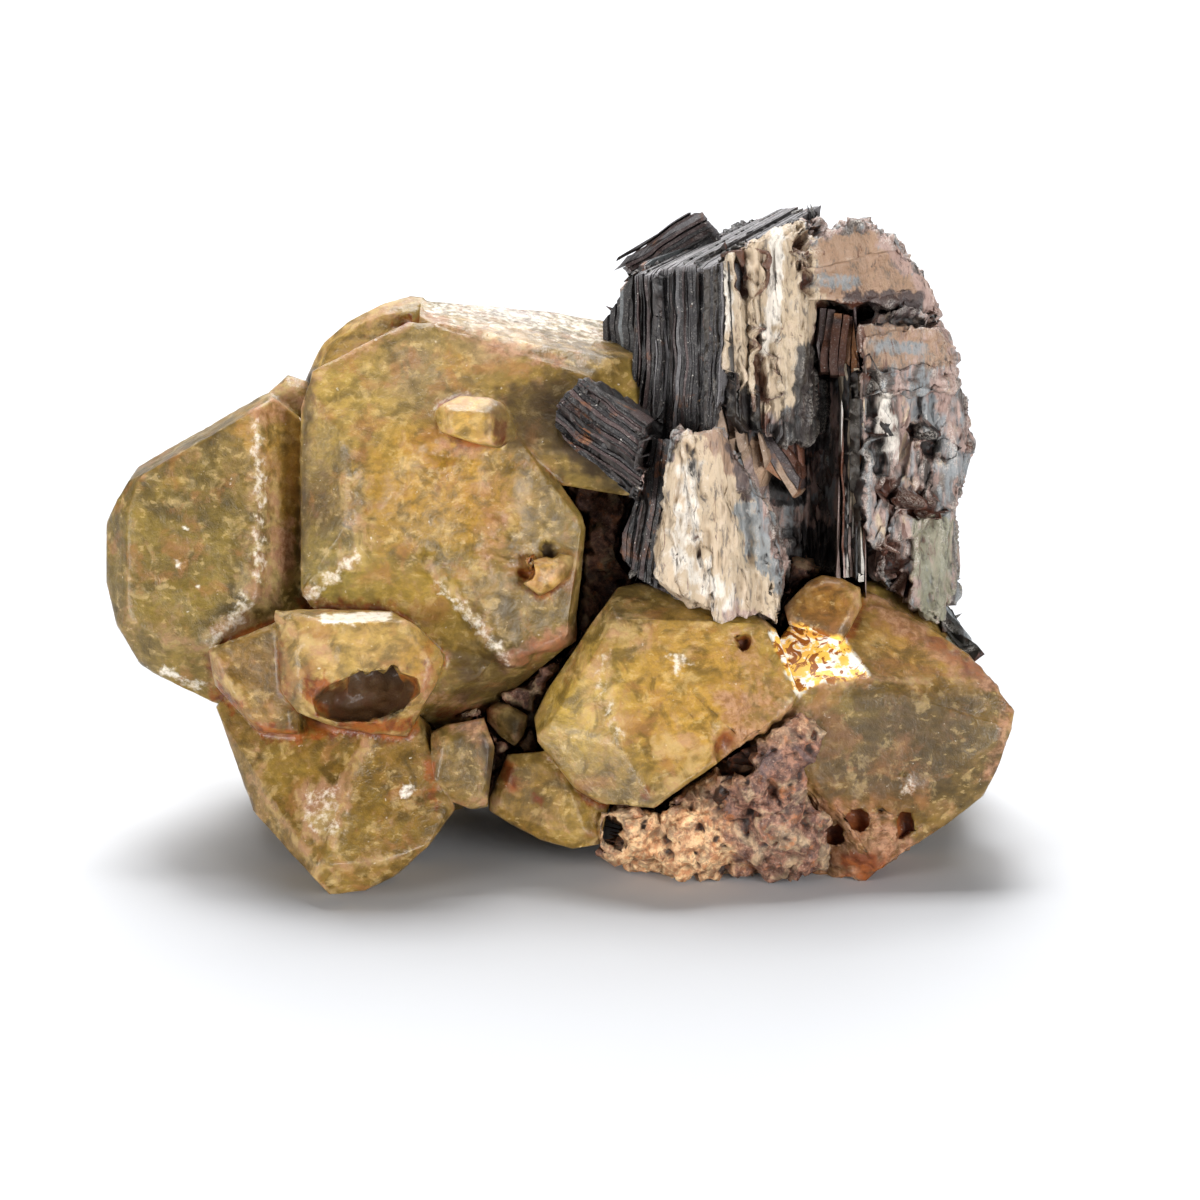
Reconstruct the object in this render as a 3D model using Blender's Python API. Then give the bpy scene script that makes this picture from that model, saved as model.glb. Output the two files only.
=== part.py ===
"""A cluster of intergrown garnet crystals that carries books of mica on a porous matrix.

Every measure is in millimetres until the last step, which stands the finished solids up in metres.
The crystals are drawn as they are seen from the front, from a little above: u runs to the right, v runs
up and w comes towards the eye. A crystal is convex, so it is cut from a block by its flat facets.
"""

import math
import random
from dataclasses import dataclass, field

import bmesh
import bpy
from mathutils import Matrix, Vector
from mathutils.bvhtree import BVHTree

# How the specimen is seen, and the level that it rests on along the upright.
VIEW_ABOVE = math.radians(17.0)
GROUND = 2.45

# The gap between garnet, mica and matrix, and the side of the block that a crystal is cut from.
GAP = 0.3
BLOCK = 90.0
METRE = 0.001

# How many degrees the sides of a crystal close in behind its middle, one side after another.
TAPERS = (24.0, 38.0, 18.0, 30.0, 42.0)

# How far a side of a crystal has to look up to count as a top side, from 0 to 1.
TOP_SIDE = 0.6

# Parts of the surface that are shorter than this are drawn together, and facets this near to flat are one.
SLIVER = 0.05
FLAT = math.radians(0.3)

SEED = 7


@dataclass
class Crystal:
    """A convex crystal: its rim as seen, its main facet, and the facets folded back from it.

    rim: the outline as seen, anticlockwise.
    face: the corners of the main facet as seen, anticlockwise.
    folds: how many degrees the facet beyond each side of the main one turns back.
    depth: how far forward the middle of the main facet lies.
    facing: how many degrees the main facet turns to the right and up.
    core: how far forward the middle of the crystal lies. Its back mirrors its front through there.
    more: further facets, each with the number of the facet that it folds from, two ends and a fold.
    """

    rim: list
    face: list
    folds: list
    depth: float
    facing: tuple
    core: float
    more: list = field(default_factory=list)


CRYSTALS = {
    "left": Crystal(
        rim=[(-23.4, 23.6), (-24.5, 21.8), (-25.1, 20.4), (-25.1, 17.2), (-24.5, 14.8), (-23.2, 12.7),
             (-21.7, 11.8), (-19.2, 10.6), (-15.0, 9.5), (-12.6, 12.0), (-12.6, 25.0), (-16.2, 27.7)],
        face=[(-23.1, 23.1), (-23.9, 21.1), (-23.9, 15.2), (-21.9, 13.9), (-19.3, 13.7), (-16.8, 16.5),
              (-16.8, 26.7)],
        folds=[50, 50, 45, 42, 38, 50, 74],
        depth=7.0, facing=(-8, 3), core=0.5,
    ),
    "shoulder": Crystal(
        rim=[(-16.6, 27.3), (-16.5, 25.9), (-15.0, 25.7), (-13.8, 26.8), (-14.0, 28.3), (-15.1, 28.7)],
        face=[(-16.0, 27.0), (-15.8, 26.2), (-14.8, 26.2), (-14.3, 27.0), (-14.4, 27.9), (-15.1, 28.1)],
        folds=[40, 40, 40, 40, 40, 40],
        depth=4.0, facing=(-5, 15), core=1.0,
    ),
    "heart": Crystal(
        rim=[(-14.3, 26.8), (-14.3, 16.8), (-13.4, 15.6), (-7.2, 9.3), (-6.3, 8.5), (-4.6, 9.6),
             (0.8, 14.0), (1.4, 20.2), (1.2, 20.9), (-3.4, 27.6), (-6.9, 31.5), (-8.4, 31.5),
             (-13.6, 28.8)],
        face=[(-9.8, 23.8), (-10.1, 21.0), (-2.9, 13.0), (0.3, 14.0), (1.2, 20.4), (-2.3, 25.1),
              (-6.7, 25.3)],
        folds=[27, 25, 60, 60, 45, 30, 28],
        depth=9.0, facing=(10, 0), core=1.5,
        more=[(1, (-11.8, 23.4), (-11.8, 18.4), 18)],
    ),
    "back_left": Crystal(
        rim=[(-14.2, 28.4), (-13.3, 26.0), (-8.0, 26.0), (-6.0, 31.0), (-7.6, 33.0), (-8.3, 33.1),
             (-10.0, 32.6), (-11.7, 31.7), (-13.1, 30.5), (-13.6, 29.6)],
        face=[(-13.3, 28.9), (-13.0, 26.5), (-8.0, 26.5), (-6.8, 30.5), (-8.0, 32.2), (-9.9, 32.0),
              (-11.6, 31.2), (-12.8, 30.1)],
        folds=[50, 50, 50, 50, 45, 45, 45, 45],
        depth=3.0, facing=(-20, 10), core=-2.0,
    ),
    "crown": Crystal(
        rim=[(-7.7, 32.8), (-8.0, 28.0), (-2.0, 22.0), (4.0, 22.0), (7.0, 26.0), (5.5, 30.5), (2.4, 31.7),
             (-0.3, 32.2), (-4.2, 32.55), (-6.9, 32.75)],
        face=[(-6.7, 31.2), (-5.0, 27.0), (-1.0, 24.4), (1.8, 24.4), (1.8, 28.5)],
        folds=[40, 50, 50, 38, 26],
        depth=7.6, facing=(0, 20), core=-1.0,
        more=[(5, (2.7, 29.6), (-6.7, 31.5), 27)],
    ),
    "perched": Crystal(
        rim=[(-6.9, 26.5), (-6.6, 25.5), (-5.8, 25.2), (-4.4, 24.8), (-3.3, 24.6), (-2.3, 25.3),
             (-2.7, 26.3), (-3.1, 27.0), (-3.9, 27.4), (-5.5, 27.5), (-6.6, 26.9)],
        face=[(-6.1, 26.6), (-6.0, 25.5), (-4.6, 25.0), (-3.8, 24.9), (-3.8, 26.5)],
        folds=[45, 55, 55, 50, 50],
        depth=11.5, facing=(-5, 5), core=9.0,
    ),
    "knob": Crystal(
        rim=[(-1.9, 18.3), (-2.0, 17.1), (-1.1, 16.4), (-0.4, 16.8), (0.6, 17.6), (0.8, 18.6), (0.0, 18.8)],
        face=[(-1.5, 18.0), (-1.5, 17.2), (-0.9, 16.9), (0.1, 17.6), (0.3, 18.3)],
        folds=[45, 45, 45, 45, 45],
        depth=9.6, facing=(20, 0), core=6.5,
    ),
    "pocket": Crystal(
        rim=[(-15.6, 15.6), (-15.3, 11.2), (-14.4, 10.0), (-12.2, 9.2), (-8.4, 8.7), (-6.7, 11.8),
             (-6.3, 13.2), (-7.9, 14.8), (-9.3, 15.6), (-13.2, 15.7)],
        face=[(-14.4, 13.4), (-14.2, 10.7), (-12.8, 9.6), (-9.7, 9.4), (-7.5, 11.2), (-7.1, 12.9),
              (-8.7, 15.0), (-13.0, 15.0)],
        folds=[40, 45, 50, 45, 45, 40, 72, 38],
        depth=13.0, facing=(0, -4), core=8.0,
    ),
    "block": Crystal(
        rim=[(-19.3, 13.4), (-19.0, 11.5), (-17.4, 9.8), (-16.6, 9.0), (-14.4, 8.8), (-13.9, 14.0),
             (-15.6, 15.0), (-18.0, 14.0)],
        face=[(-19.1, 13.3), (-17.2, 9.8), (-16.2, 9.1), (-14.9, 9.1), (-14.9, 12.9), (-15.4, 14.7),
              (-18.0, 13.9)],
        folds=[45, 45, 50, 50, 50, 45, 60],
        depth=10.5, facing=(-12, 0), core=6.0,
    ),
    "foot": Crystal(
        rim=[(-19.0, 10.3), (-16.9, 4.6), (-13.9, 1.3), (-12.7, 0.0), (-10.7, 0.2), (-9.1, 1.0),
             (-7.2, 2.7), (-5.8, 4.7), (-7.2, 9.3), (-9.0, 11.0), (-18.0, 11.5)],
        face=[(-10.4, 9.8), (-13.1, 1.6), (-9.3, 1.9), (-7.2, 2.8), (-6.1, 4.8), (-7.2, 7.9), (-8.0, 9.8)],
        folds=[30, 42, 50, 55, 60, 50, 20],
        depth=10.0, facing=(10, 12), core=3.0,
        more=[(1, (-16.7, 6.6), (-13.3, 1.4), 40)],
    ),
    "grey": Crystal(
        rim=[(-7.1, 8.9), (-7.1, 6.0), (-6.4, 5.3), (-4.9, 4.7), (-4.0, 4.8), (-3.6, 8.1), (-4.2, 9.7),
             (-6.3, 9.3)],
        face=[(-6.3, 8.4), (-6.7, 6.2), (-6.0, 5.7), (-5.0, 5.2), (-4.2, 5.3), (-4.0, 6.9), (-3.9, 8.4),
              (-4.4, 9.1)],
        folds=[45, 45, 45, 45, 45, 45, 45, 45],
        depth=9.6, facing=(5, -5), core=6.0,
    ),
    "chip": Crystal(
        rim=[(-4.1, 10.2), (-4.0, 9.5), (-3.3, 8.7), (-2.5, 8.1), (-2.0, 8.7), (-1.8, 9.8), (-2.8, 10.4),
             (-3.4, 10.6)],
        face=[(-3.7, 10.0), (-3.2, 9.2), (-2.5, 8.6), (-2.2, 9.6), (-2.9, 10.1)],
        folds=[45, 45, 45, 45, 45],
        depth=6.5, facing=(-8, 5), core=4.0,
    ),
    "golden": Crystal(
        rim=[(3.2, 16.9), (1.7, 14.8), (-0.7, 11.2), (-1.4, 9.7), (-1.2, 8.4), (0.8, 5.9), (2.2, 5.0),
             (5.2, 4.8), (12.7, 10.1), (13.2, 11.1), (11.9, 14.6), (11.1, 15.3), (7.4, 16.4), (4.4, 17.2)],
        face=[(3.0, 15.2), (3.3, 8.3), (5.3, 5.1), (12.2, 9.9), (13.1, 10.9), (11.2, 14.9)],
        folds=[28, 38, 55, 50, 45, 48],
        depth=11.0, facing=(4, 10), core=4.0,
        more=[(1, (3.2, 15.3), (0.4, 10.9), 38)],
    ),
    "right": Crystal(
        rim=[(17.0, 16.6), (14.6, 16.8), (12.8, 14.9), (10.5, 11.8), (10.3, 5.1), (10.9, 1.1), (13.2, 0.2),
             (16.0, 0.3), (21.6, 4.0), (23.4, 5.4), (24.3, 7.2), (24.9, 9.0), (25.1, 10.1), (23.9, 11.6),
             (22.6, 13.2), (19.9, 15.0)],
        face=[(13.2, 10.7), (12.8, 7.3), (15.0, 5.1), (20.7, 6.1), (24.3, 8.6), (24.4, 10.1), (20.7, 11.2)],
        folds=[40, 45, 12, 24, 30, 28, 22],
        depth=9.3, facing=(4, -8), core=1.5,
        more=[(7, (20.3, 11.9), (14.0, 11.7), 24), (8, (17.1, 11.9), (15.6, 14.0), 18)],
    ),
    "dome": Crystal(
        rim=[(12.4, 15.8), (12.7, 14.9), (15.6, 13.9), (16.7, 15.9), (16.6, 16.9), (15.6, 17.4),
             (14.5, 17.6), (13.7, 17.2)],
        face=[(12.8, 15.6), (13.2, 15.1), (15.3, 14.4), (16.2, 15.9), (16.2, 16.6), (15.4, 17.1),
              (14.6, 17.2), (13.7, 16.8)],
        folds=[40, 50, 45, 40, 40, 40, 40, 40],
        depth=8.6, facing=(-5, 15), core=4.0,
    ),
    "behind_right": Crystal(
        rim=[(16.4, 17.3), (16.0, 13.0), (20.0, 12.0), (21.6, 14.4), (20.0, 15.9), (18.9, 16.8),
             (18.2, 17.3)],
        face=[(16.6, 17.0), (16.4, 13.4), (19.8, 12.6), (21.2, 14.4), (18.8, 16.5), (18.0, 17.0)],
        folds=[45, 45, 45, 45, 45, 45],
        depth=3.0, facing=(10, 20), core=0.0,
    ),
    "keel": Crystal(
        rim=[(-2.9, 7.7), (-3.9, 5.3), (-3.9, 4.6), (-2.6, 3.8), (-1.1, 3.0), (0.7, 2.5), (2.2, 2.7),
             (3.0, 6.0), (1.0, 8.0)],
        face=[(-2.5, 7.1), (-3.4, 5.1), (-2.5, 4.3), (-0.7, 3.6), (0.7, 3.2), (1.4, 3.4), (0.8, 5.1),
              (0.3, 6.5), (-0.8, 7.3)],
        folds=[35, 35, 35, 35, 35, 40, 30, 30, 40],
        depth=8.0, facing=(-5, -5), core=3.0,
    ),
}


@dataclass
class Garnet:
    """A crystal of the hidden side: the whole garnet form, by its middle, size and three turns."""

    middle: tuple
    radius: float
    turns: tuple


BACK_GARNETS = {
    "back_heart": Garnet((-6.5, 20.5, -5.0), 8.5, (20, 35, 10)),
    "back_foot": Garnet((-11.0, 11.5, -6.0), 7.0, (5, 20, 40)),
    "back_middle": Garnet((3.0, 11.5, -7.0), 6.5, (40, 10, 25)),
    "back_right": Garnet((16.0, 10.5, -6.0), 6.8, (15, 50, 5)),
    "back_small": Garnet((-15.5, 17.5, -6.5), 4.5, (30, 5, 60)),
    "back_bud": Garnet((-2.0, 14.0, -11.5), 4.0, (50, 25, 15)),
}

# The cube's edge directions and the corner cuts that make the garnet form.
RHOMB_SHARE = 1.0
TRAPEZOHEDRON_SHARE = 1.055


@dataclass
class Book:
    """A book of mica: a convex block of plates, whose edges show as striae.

    outline: the block as seen, anticlockwise.
    depth, facing: as on a crystal, for the front of the block.
    length: how far the plates run back, along run.
    striae: the angle of the plate edges as seen, in degrees from the horizontal.
    plates: how many groups of plates the block splits into.
    """

    outline: list
    depth: float
    facing: tuple
    length: float
    striae: float
    plates: int
    run: tuple = (0.0, 0.0, -1.0)


BOOKS = {
    "dark": Book(
        [(4.0, 34.0), (3.9, 27.3), (4.9, 21.8), (7.8, 21.8), (8.9, 27.3), (8.9, 35.0)],
        6.8, (-30, 0), 12.5, 90, 7, (0.46, 0.26, -0.85)),
    "pale": Book(
        [(8.4, 35.0), (8.4, 27.3), (10.0, 25.1), (13.3, 24.8), (13.7, 35.6), (12.8, 36.5)],
        7.6, (14, 0), 6.0, 92, 7, (0.25, 0.15, -0.95)),
    "wing": Book(
        [(4.1, 34.4), (2.8, 32.2), (2.4, 31.4), (2.4, 30.2), (4.0, 26.8), (5.6, 27.3), (5.6, 34.6)],
        4.0, (-35, 0), 5.0, 90, 3, (0.46, 0.26, -0.85)),
    "top_rear": Book(
        [(3.4, 35.0), (4.2, 33.9), (6.0, 31.5), (10.0, 31.5), (10.0, 35.1), (8.0, 37.8), (7.1, 37.6),
         (4.6, 36.1)],
        0.5, (0, 0), 6.0, 30, 4),
    "tilted": Book(
        [(-0.3, 26.9), (-0.3, 26.1), (0.5, 25.0), (4.1, 21.5), (4.6, 23.4), (5.1, 25.9), (1.3, 28.6)],
        9.8, (-15, 10), 9.0, -36, 5, (0.1, 0.05, -1.0)),
    "low_dark": Book(
        [(5.3, 25.1), (3.5, 20.1), (3.4, 18.7), (4.3, 17.5), (6.2, 16.4), (6.8, 20.0), (6.8, 25.0)],
        8.8, (-30, -8), 7.0, 80, 4),
    "low_pale": Book(
        [(6.0, 25.1), (5.3, 17.4), (9.2, 14.6), (11.8, 14.4), (12.5, 18.4), (11.1, 21.8), (8.7, 25.7)],
        10.9, (10, -10), 9.0, 100, 5),
    "right_top": Book(
        [(13.6, 35.8), (13.3, 32.9), (20.8, 32.0), (19.9, 34.1), (18.4, 36.1), (17.0, 37.3), (15.3, 36.7)],
        6.2, (14, 8), 8.0, 14, 3),
    "right_middle": Book(
        [(16.7, 31.5), (16.7, 27.3), (21.7, 27.9), (21.6, 29.7), (20.8, 31.9), (19.9, 32.5)],
        6.8, (14, 6), 8.0, 12, 3),
    "right_low": Book(
        [(16.1, 27.6), (16.1, 21.8), (17.8, 18.4), (21.9, 21.4), (22.3, 22.9), (22.7, 24.7), (22.3, 27.1),
         (21.7, 28.2)],
        5.0, (18, 0), 8.0, 74, 5),
    "right_foot": Book(
        [(17.8, 21.8), (17.2, 17.3), (18.9, 16.2), (21.3, 15.0), (21.9, 16.8), (21.9, 21.4)],
        4.0, (16, 0), 6.0, 84, 4),
    "tail": Book(
        [(20.6, 17.0), (18.9, 16.2), (22.2, 13.2), (23.2, 12.9), (22.8, 14.0), (21.7, 15.9)],
        2.2, (10, 10), 4.0, -52, 2),
    "wall": Book(
        [(8.8, 34.0), (8.8, 17.0), (17.5, 17.0), (18.5, 33.5)],
        1.5, (0, 0), 6.0, 90, 5),
    "fin": Book(
        [(15.6, 29.3), (15.4, 17.3), (16.8, 17.3), (16.8, 29.3)],
        5.5, (0, 0), 5.0, 91, 2),
}

# How far a group of plates slides along its edges and along its run, and how far two groups overlap.
PLATE_SLIDE = 0.2
PLATE_STEP = 0.5
PLATE_OVERLAP = 0.12

# The matrix: lumps, each by its middle and its radius.
LUMPS = [
    ((5.5, 4.8, 4.0), 4.2), ((9.0, 4.4, 4.6), 4.0), ((3.9, 3.9, 6.2), 2.5), ((7.4, 3.5, 6.4), 2.6),
    ((11.0, 6.5, 7.2), 3.6), ((12.6, 4.0, 6.4), 3.4), ((12.6, 8.8, 8.6), 2.5), ((0.0, 13.0, 0.0), 6.0),
    ((8.0, 12.5, -1.0), 7.0), ((13.0, 15.0, 0.0), 4.6), ((-3.0, 9.4, 1.5), 4.6), ((2.4, 20.2, -0.5), 4.6),
]
LUMP_FACETS = 22


@dataclass
class Pit:
    """A pit, cut by a faceted ball whose middle lies on the surface where it is seen.

    half: its half sizes.
    turn: how many degrees it turns as seen.
    """

    seen: tuple
    half: tuple
    turn: float = 0.0


GARNET_PITS = [
    Pit((-10.6, 10.9), (3.1, 1.35, 2.4), 12),
    Pit((-1.75, 17.8), (0.45, 0.5, 0.9)),
    Pit((-8.7, 31.6), (0.7, 0.5, 0.4)),
    Pit((15.1, 3.1), (0.35, 0.55, 0.8), -30),
    Pit((16.5, 4.0), (0.5, 0.6, 0.8)),
    Pit((19.1, 3.7), (0.45, 0.6, 0.8)),
    Pit((10.3, 14.0), (0.3, 0.5, 0.5)),
    Pit((9.2, 8.1), (0.8, 1.1, 1.0)),
]
MATRIX_PITS = [
    Pit((9.4, 7.8), (1.2, 1.4, 2.2)),
    Pit((2.8, 3.4), (0.55, 0.9, 1.4), 20),
]

GARNET_COLOUR = (0.36, 0.25, 0.08, 1.0)
MICA_COLOUR = (0.16, 0.13, 0.12, 1.0)
MATRIX_COLOUR = (0.42, 0.26, 0.21, 1.0)


def clear_scene():
    for thing in list(bpy.data.objects):
        bpy.data.objects.remove(thing, do_unlink=True)


def direction(yaw, pitch):
    """The unit vector that turns yaw degrees to the right and pitch degrees up from the eye's line."""
    yaw = math.radians(yaw)
    pitch = math.radians(pitch)
    return Vector((math.sin(yaw) * math.cos(pitch), math.sin(pitch), math.cos(yaw) * math.cos(pitch)))


def on_plane(plane, seen):
    """The point of a plane that is seen at (u, v)."""
    normal, point = plane
    u, v = seen
    w = point.z - (normal.x * (u - point.x) + normal.y * (v - point.y)) / normal.z
    return Vector((u, v, w))


def folded(plane, start, end, fold):
    """The plane that meets the given one along the line from start to end and turns back from it."""
    first = on_plane(plane, start)
    along = (on_plane(plane, end) - first).normalized()
    outward = along.cross(plane[0])
    angle = math.radians(fold)
    return (plane[0] * math.cos(angle) + outward * math.sin(angle), first)


def rim_planes(outline):
    """Planes along the eye's line through each side of an outline as seen."""
    planes = []
    for start, end in zip(outline, outline[1:] + outline[:1]):
        side = Vector((end[1] - start[1], start[0] - end[0], 0.0)).normalized()
        planes.append((side, Vector((start[0], start[1], 0.0))))
    return planes


def taper_planes(outline, core):
    """Planes through each side of an outline at its middle depth, closing in towards the back.

    The top sides have none, because the eye sees over them to the back edge of a top facet.
    """
    planes = []
    for number, (side, start) in enumerate(rim_planes(outline)):
        if side.y > TOP_SIDE:
            continue
        slope = math.radians(TAPERS[number % len(TAPERS)])
        tilted = side * math.cos(slope) - Vector((0.0, 0.0, math.sin(slope)))
        planes.append((tilted, start + Vector((0.0, 0.0, core))))
    return planes


def middle_of(outline):
    return Vector((sum(u for u, v in outline) / len(outline), sum(v for u, v in outline) / len(outline)))


def crystal_planes(crystal):
    centre = middle_of(crystal.face)
    main = (direction(*crystal.facing), Vector((centre.x, centre.y, crystal.depth)))
    fronts = [main]
    sides = zip(crystal.face, crystal.face[1:] + crystal.face[:1], crystal.folds)
    for start, end, fold in sides:
        fronts.append(folded(main, start, end, fold))
    for parent, start, end, fold in crystal.more:
        fronts.append(folded(fronts[parent], start, end, fold))
    rim_centre = middle_of(crystal.rim)
    core = Vector((rim_centre.x, rim_centre.y, crystal.core))
    backs = [(-normal, core * 2 - point) for normal, point in fronts]
    return fronts + backs + rim_planes(crystal.rim) + taper_planes(crystal.rim, crystal.core)


def garnet_planes(garnet):
    """The twelve rhombs and twenty-four kites of the garnet form."""
    turn = Matrix.Identity(3)
    for axis, degrees in zip("XYZ", garnet.turns):
        turn = Matrix.Rotation(math.radians(degrees), 3, axis) @ turn
    middle = Vector(garnet.middle)
    planes = []
    for signs in ((a, b, c) for a in (-1, 1) for b in (-1, 1) for c in (-1, 1)):
        for form, share in (((1, 1, 0), RHOMB_SHARE), ((2, 1, 1), TRAPEZOHEDRON_SHARE)):
            for shift in range(3):
                turned = [form[(place + shift) % 3] * signs[place] for place in range(3)]
                normal = turn @ Vector(turned).normalized()
                planes.append((normal, middle + normal * garnet.radius * share))
    return planes


def convex_solid(planes, grow=0.0):
    """The block that is left inside all the planes, each moved out by grow."""
    shape = bmesh.new()
    bmesh.ops.create_cube(shape, size=BLOCK)
    for normal, point in planes:
        everything = shape.verts[:] + shape.edges[:] + shape.faces[:]
        cut = bmesh.ops.bisect_plane(
            shape, geom=everything, dist=1e-5, plane_co=point + normal * grow, plane_no=normal,
            clear_outer=True)
        edges = [piece for piece in cut["geom_cut"] if isinstance(piece, bmesh.types.BMEdge)]
        if len(edges) > 2:
            bmesh.ops.contextual_create(shape, geom=edges)
    bmesh.ops.remove_doubles(shape, verts=shape.verts[:], dist=SLIVER)
    corners = [vertex.co.copy() for vertex in shape.verts]
    shape.free()
    return hull_of(corners)


def hull_of(corners):
    """The convex solid over some corners, its flat facets whole."""
    shape = bmesh.new()
    for corner in corners:
        shape.verts.new(corner)
    hull = bmesh.ops.convex_hull(shape, input=shape.verts[:])
    inner = {piece for piece in hull["geom_interior"] if isinstance(piece, bmesh.types.BMVert)}
    bmesh.ops.delete(shape, geom=list(inner), context="VERTS")
    bmesh.ops.recalc_face_normals(shape, faces=shape.faces[:])
    bmesh.ops.dissolve_limit(
        shape, angle_limit=FLAT, verts=shape.verts[:], edges=shape.edges[:])
    return shape


def as_object(shape, name):
    mesh = bpy.data.meshes.new(name)
    bmesh.ops.recalc_face_normals(shape, faces=shape.faces[:])
    shape.to_mesh(mesh)
    shape.free()
    thing = bpy.data.objects.new(name, mesh)
    bpy.context.scene.collection.objects.link(thing)
    return thing


def combine(base, other, operation):
    """Joins or cuts base by other, for good, and removes other."""
    change = base.modifiers.new("combine", "BOOLEAN")
    change.operation = operation
    change.solver = "EXACT"
    change.object = other
    graph = bpy.context.evaluated_depsgraph_get()
    mesh = bpy.data.meshes.new_from_object(base.evaluated_get(graph))
    base.modifiers.clear()
    base.data = mesh
    bpy.data.objects.remove(other, do_unlink=True)


def joined(name, shapes):
    """One solid from many convex ones."""
    base = as_object(shapes[0], name)
    for shape in shapes[1:]:
        combine(base, as_object(shape, "addition"), "UNION")
    return base


def dig(thing, pit):
    """Cuts a pit into a solid, from the surface that the eye meets there."""
    tree = BVHTree.FromObject(thing, bpy.context.evaluated_depsgraph_get())
    middle = tree.ray_cast(Vector((*pit.seen, BLOCK)), Vector((0.0, 0.0, -1.0)))[0]
    shape = bmesh.new()
    bmesh.ops.create_icosphere(shape, subdivisions=2, radius=1.0)
    size = Matrix.Diagonal((*pit.half, 1.0))
    turn = Matrix.Rotation(math.radians(pit.turn), 4, "Z")
    bmesh.ops.transform(shape, matrix=Matrix.Translation(middle) @ turn @ size, verts=shape.verts[:])
    combine(thing, as_object(shape, "pit"), "DIFFERENCE")


def book_planes(book):
    """The planes of each group of plates, from the first to the last."""
    centre = middle_of(book.outline)
    front = (direction(*book.facing), Vector((centre.x, centre.y, book.depth)))
    run = Vector(book.run).normalized()
    edge = Vector((math.cos(math.radians(book.striae)), math.sin(math.radians(book.striae)), 0.0))
    across = edge.cross(run).normalized()
    if across.x + across.y < 0:
        across = -across
    sides = []
    for start, end in zip(book.outline, book.outline[1:] + book.outline[:1]):
        first = on_plane(front, start)
        along = on_plane(front, end) - first
        sides.append((run.cross(along).normalized(), first))
    caps = [front, (-front[0], front[1] + run * book.length)]
    reach = [across.dot(on_plane(front, corner)) for corner in book.outline]
    low = min(reach)
    step = (max(reach) - low) / book.plates
    chance = random.Random(SEED + len(book.outline) + book.plates)
    groups = []
    for number in range(book.plates):
        near = low + step * (number + chance.uniform(-0.25, 0.25) * (number > 0))
        far = low + step * (number + 1 + 0.25)
        slide = run * chance.uniform(-PLATE_STEP, PLATE_STEP)
        slide += edge * chance.uniform(-PLATE_SLIDE, PLATE_SLIDE)
        own = [(normal, point + slide) for normal, point in sides + caps]
        own.append((-across, across * (near - PLATE_OVERLAP)))
        own.append((across, across * (far + PLATE_OVERLAP)))
        groups.append(own)
    return groups


def lump_planes(middle, radius, chance):
    """A rough lump: facets scattered evenly over a ball, each at its own distance."""
    planes = []
    for number in range(LUMP_FACETS):
        height = 1 - 2 * (number + 0.5) / LUMP_FACETS
        around = number * math.pi * (3 - math.sqrt(5)) + chance.uniform(-0.2, 0.2)
        level = math.sqrt(1 - height * height)
        normal = Vector((level * math.cos(around), height, level * math.sin(around)))
        planes.append((normal, Vector(middle) + normal * radius * chance.uniform(0.82, 1.0)))
    return planes


def ground_plane():
    """The level that the specimen rests on, as a plane that keeps what is above it."""
    down = Vector((0.0, -math.cos(VIEW_ABOVE), -math.sin(VIEW_ABOVE)))
    return (down, down * -GROUND)


def flatten(thing, level):
    """Cuts off what hangs below the ground, raised by level."""
    down, point = ground_plane()
    cut = convex_solid([(-down, point - down * level)])
    combine(thing, as_object(cut, "ground"), "DIFFERENCE")


def keep_largest(thing):
    """Drops the crumbs that a cut leaves loose."""
    shape = bmesh.new()
    shape.from_mesh(thing.data)
    islands = []
    waiting = set(shape.verts)
    while waiting:
        start = waiting.pop()
        island = {start}
        edge_of_island = [start]
        while edge_of_island:
            vertex = edge_of_island.pop()
            for edge in vertex.link_edges:
                other = edge.other_vert(vertex)
                if other in waiting:
                    waiting.remove(other)
                    island.add(other)
                    edge_of_island.append(other)
        islands.append(island)
    islands.sort(key=len)
    spare = [vertex for island in islands[:-1] for vertex in island]
    bmesh.ops.delete(shape, geom=spare, context="VERTS")
    shape.to_mesh(thing.data)
    shape.free()


def all_garnet_planes():
    planes = [crystal_planes(crystal) for crystal in CRYSTALS.values()]
    return planes + [garnet_planes(garnet) for garnet in BACK_GARNETS.values()]


def garnet_cluster():
    cluster = joined("garnet_cluster", [convex_solid(planes) for planes in all_garnet_planes()])
    for pit in GARNET_PITS:
        dig(cluster, pit)
    flatten(cluster, 0.0)
    return cluster


def mica_books():
    shapes = [convex_solid(planes) for book in BOOKS.values() for planes in book_planes(book)]
    books = joined("mica_books", shapes)
    for planes in all_garnet_planes():
        combine(books, as_object(convex_solid(planes, GAP), "room"), "DIFFERENCE")
    keep_largest(books)
    return books


def matrix_rock():
    chance = random.Random(SEED)
    shapes = [convex_solid(lump_planes(middle, radius, chance)) for middle, radius in LUMPS]
    rock = joined("matrix", shapes)
    for pit in MATRIX_PITS:
        dig(rock, pit)
    for planes in all_garnet_planes():
        combine(rock, as_object(convex_solid(planes, GAP), "room"), "DIFFERENCE")
    for book in BOOKS.values():
        for planes in book_planes(book):
            combine(rock, as_object(convex_solid(planes, GAP), "room"), "DIFFERENCE")
    flatten(rock, GAP)
    keep_largest(rock)
    return rock


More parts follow.
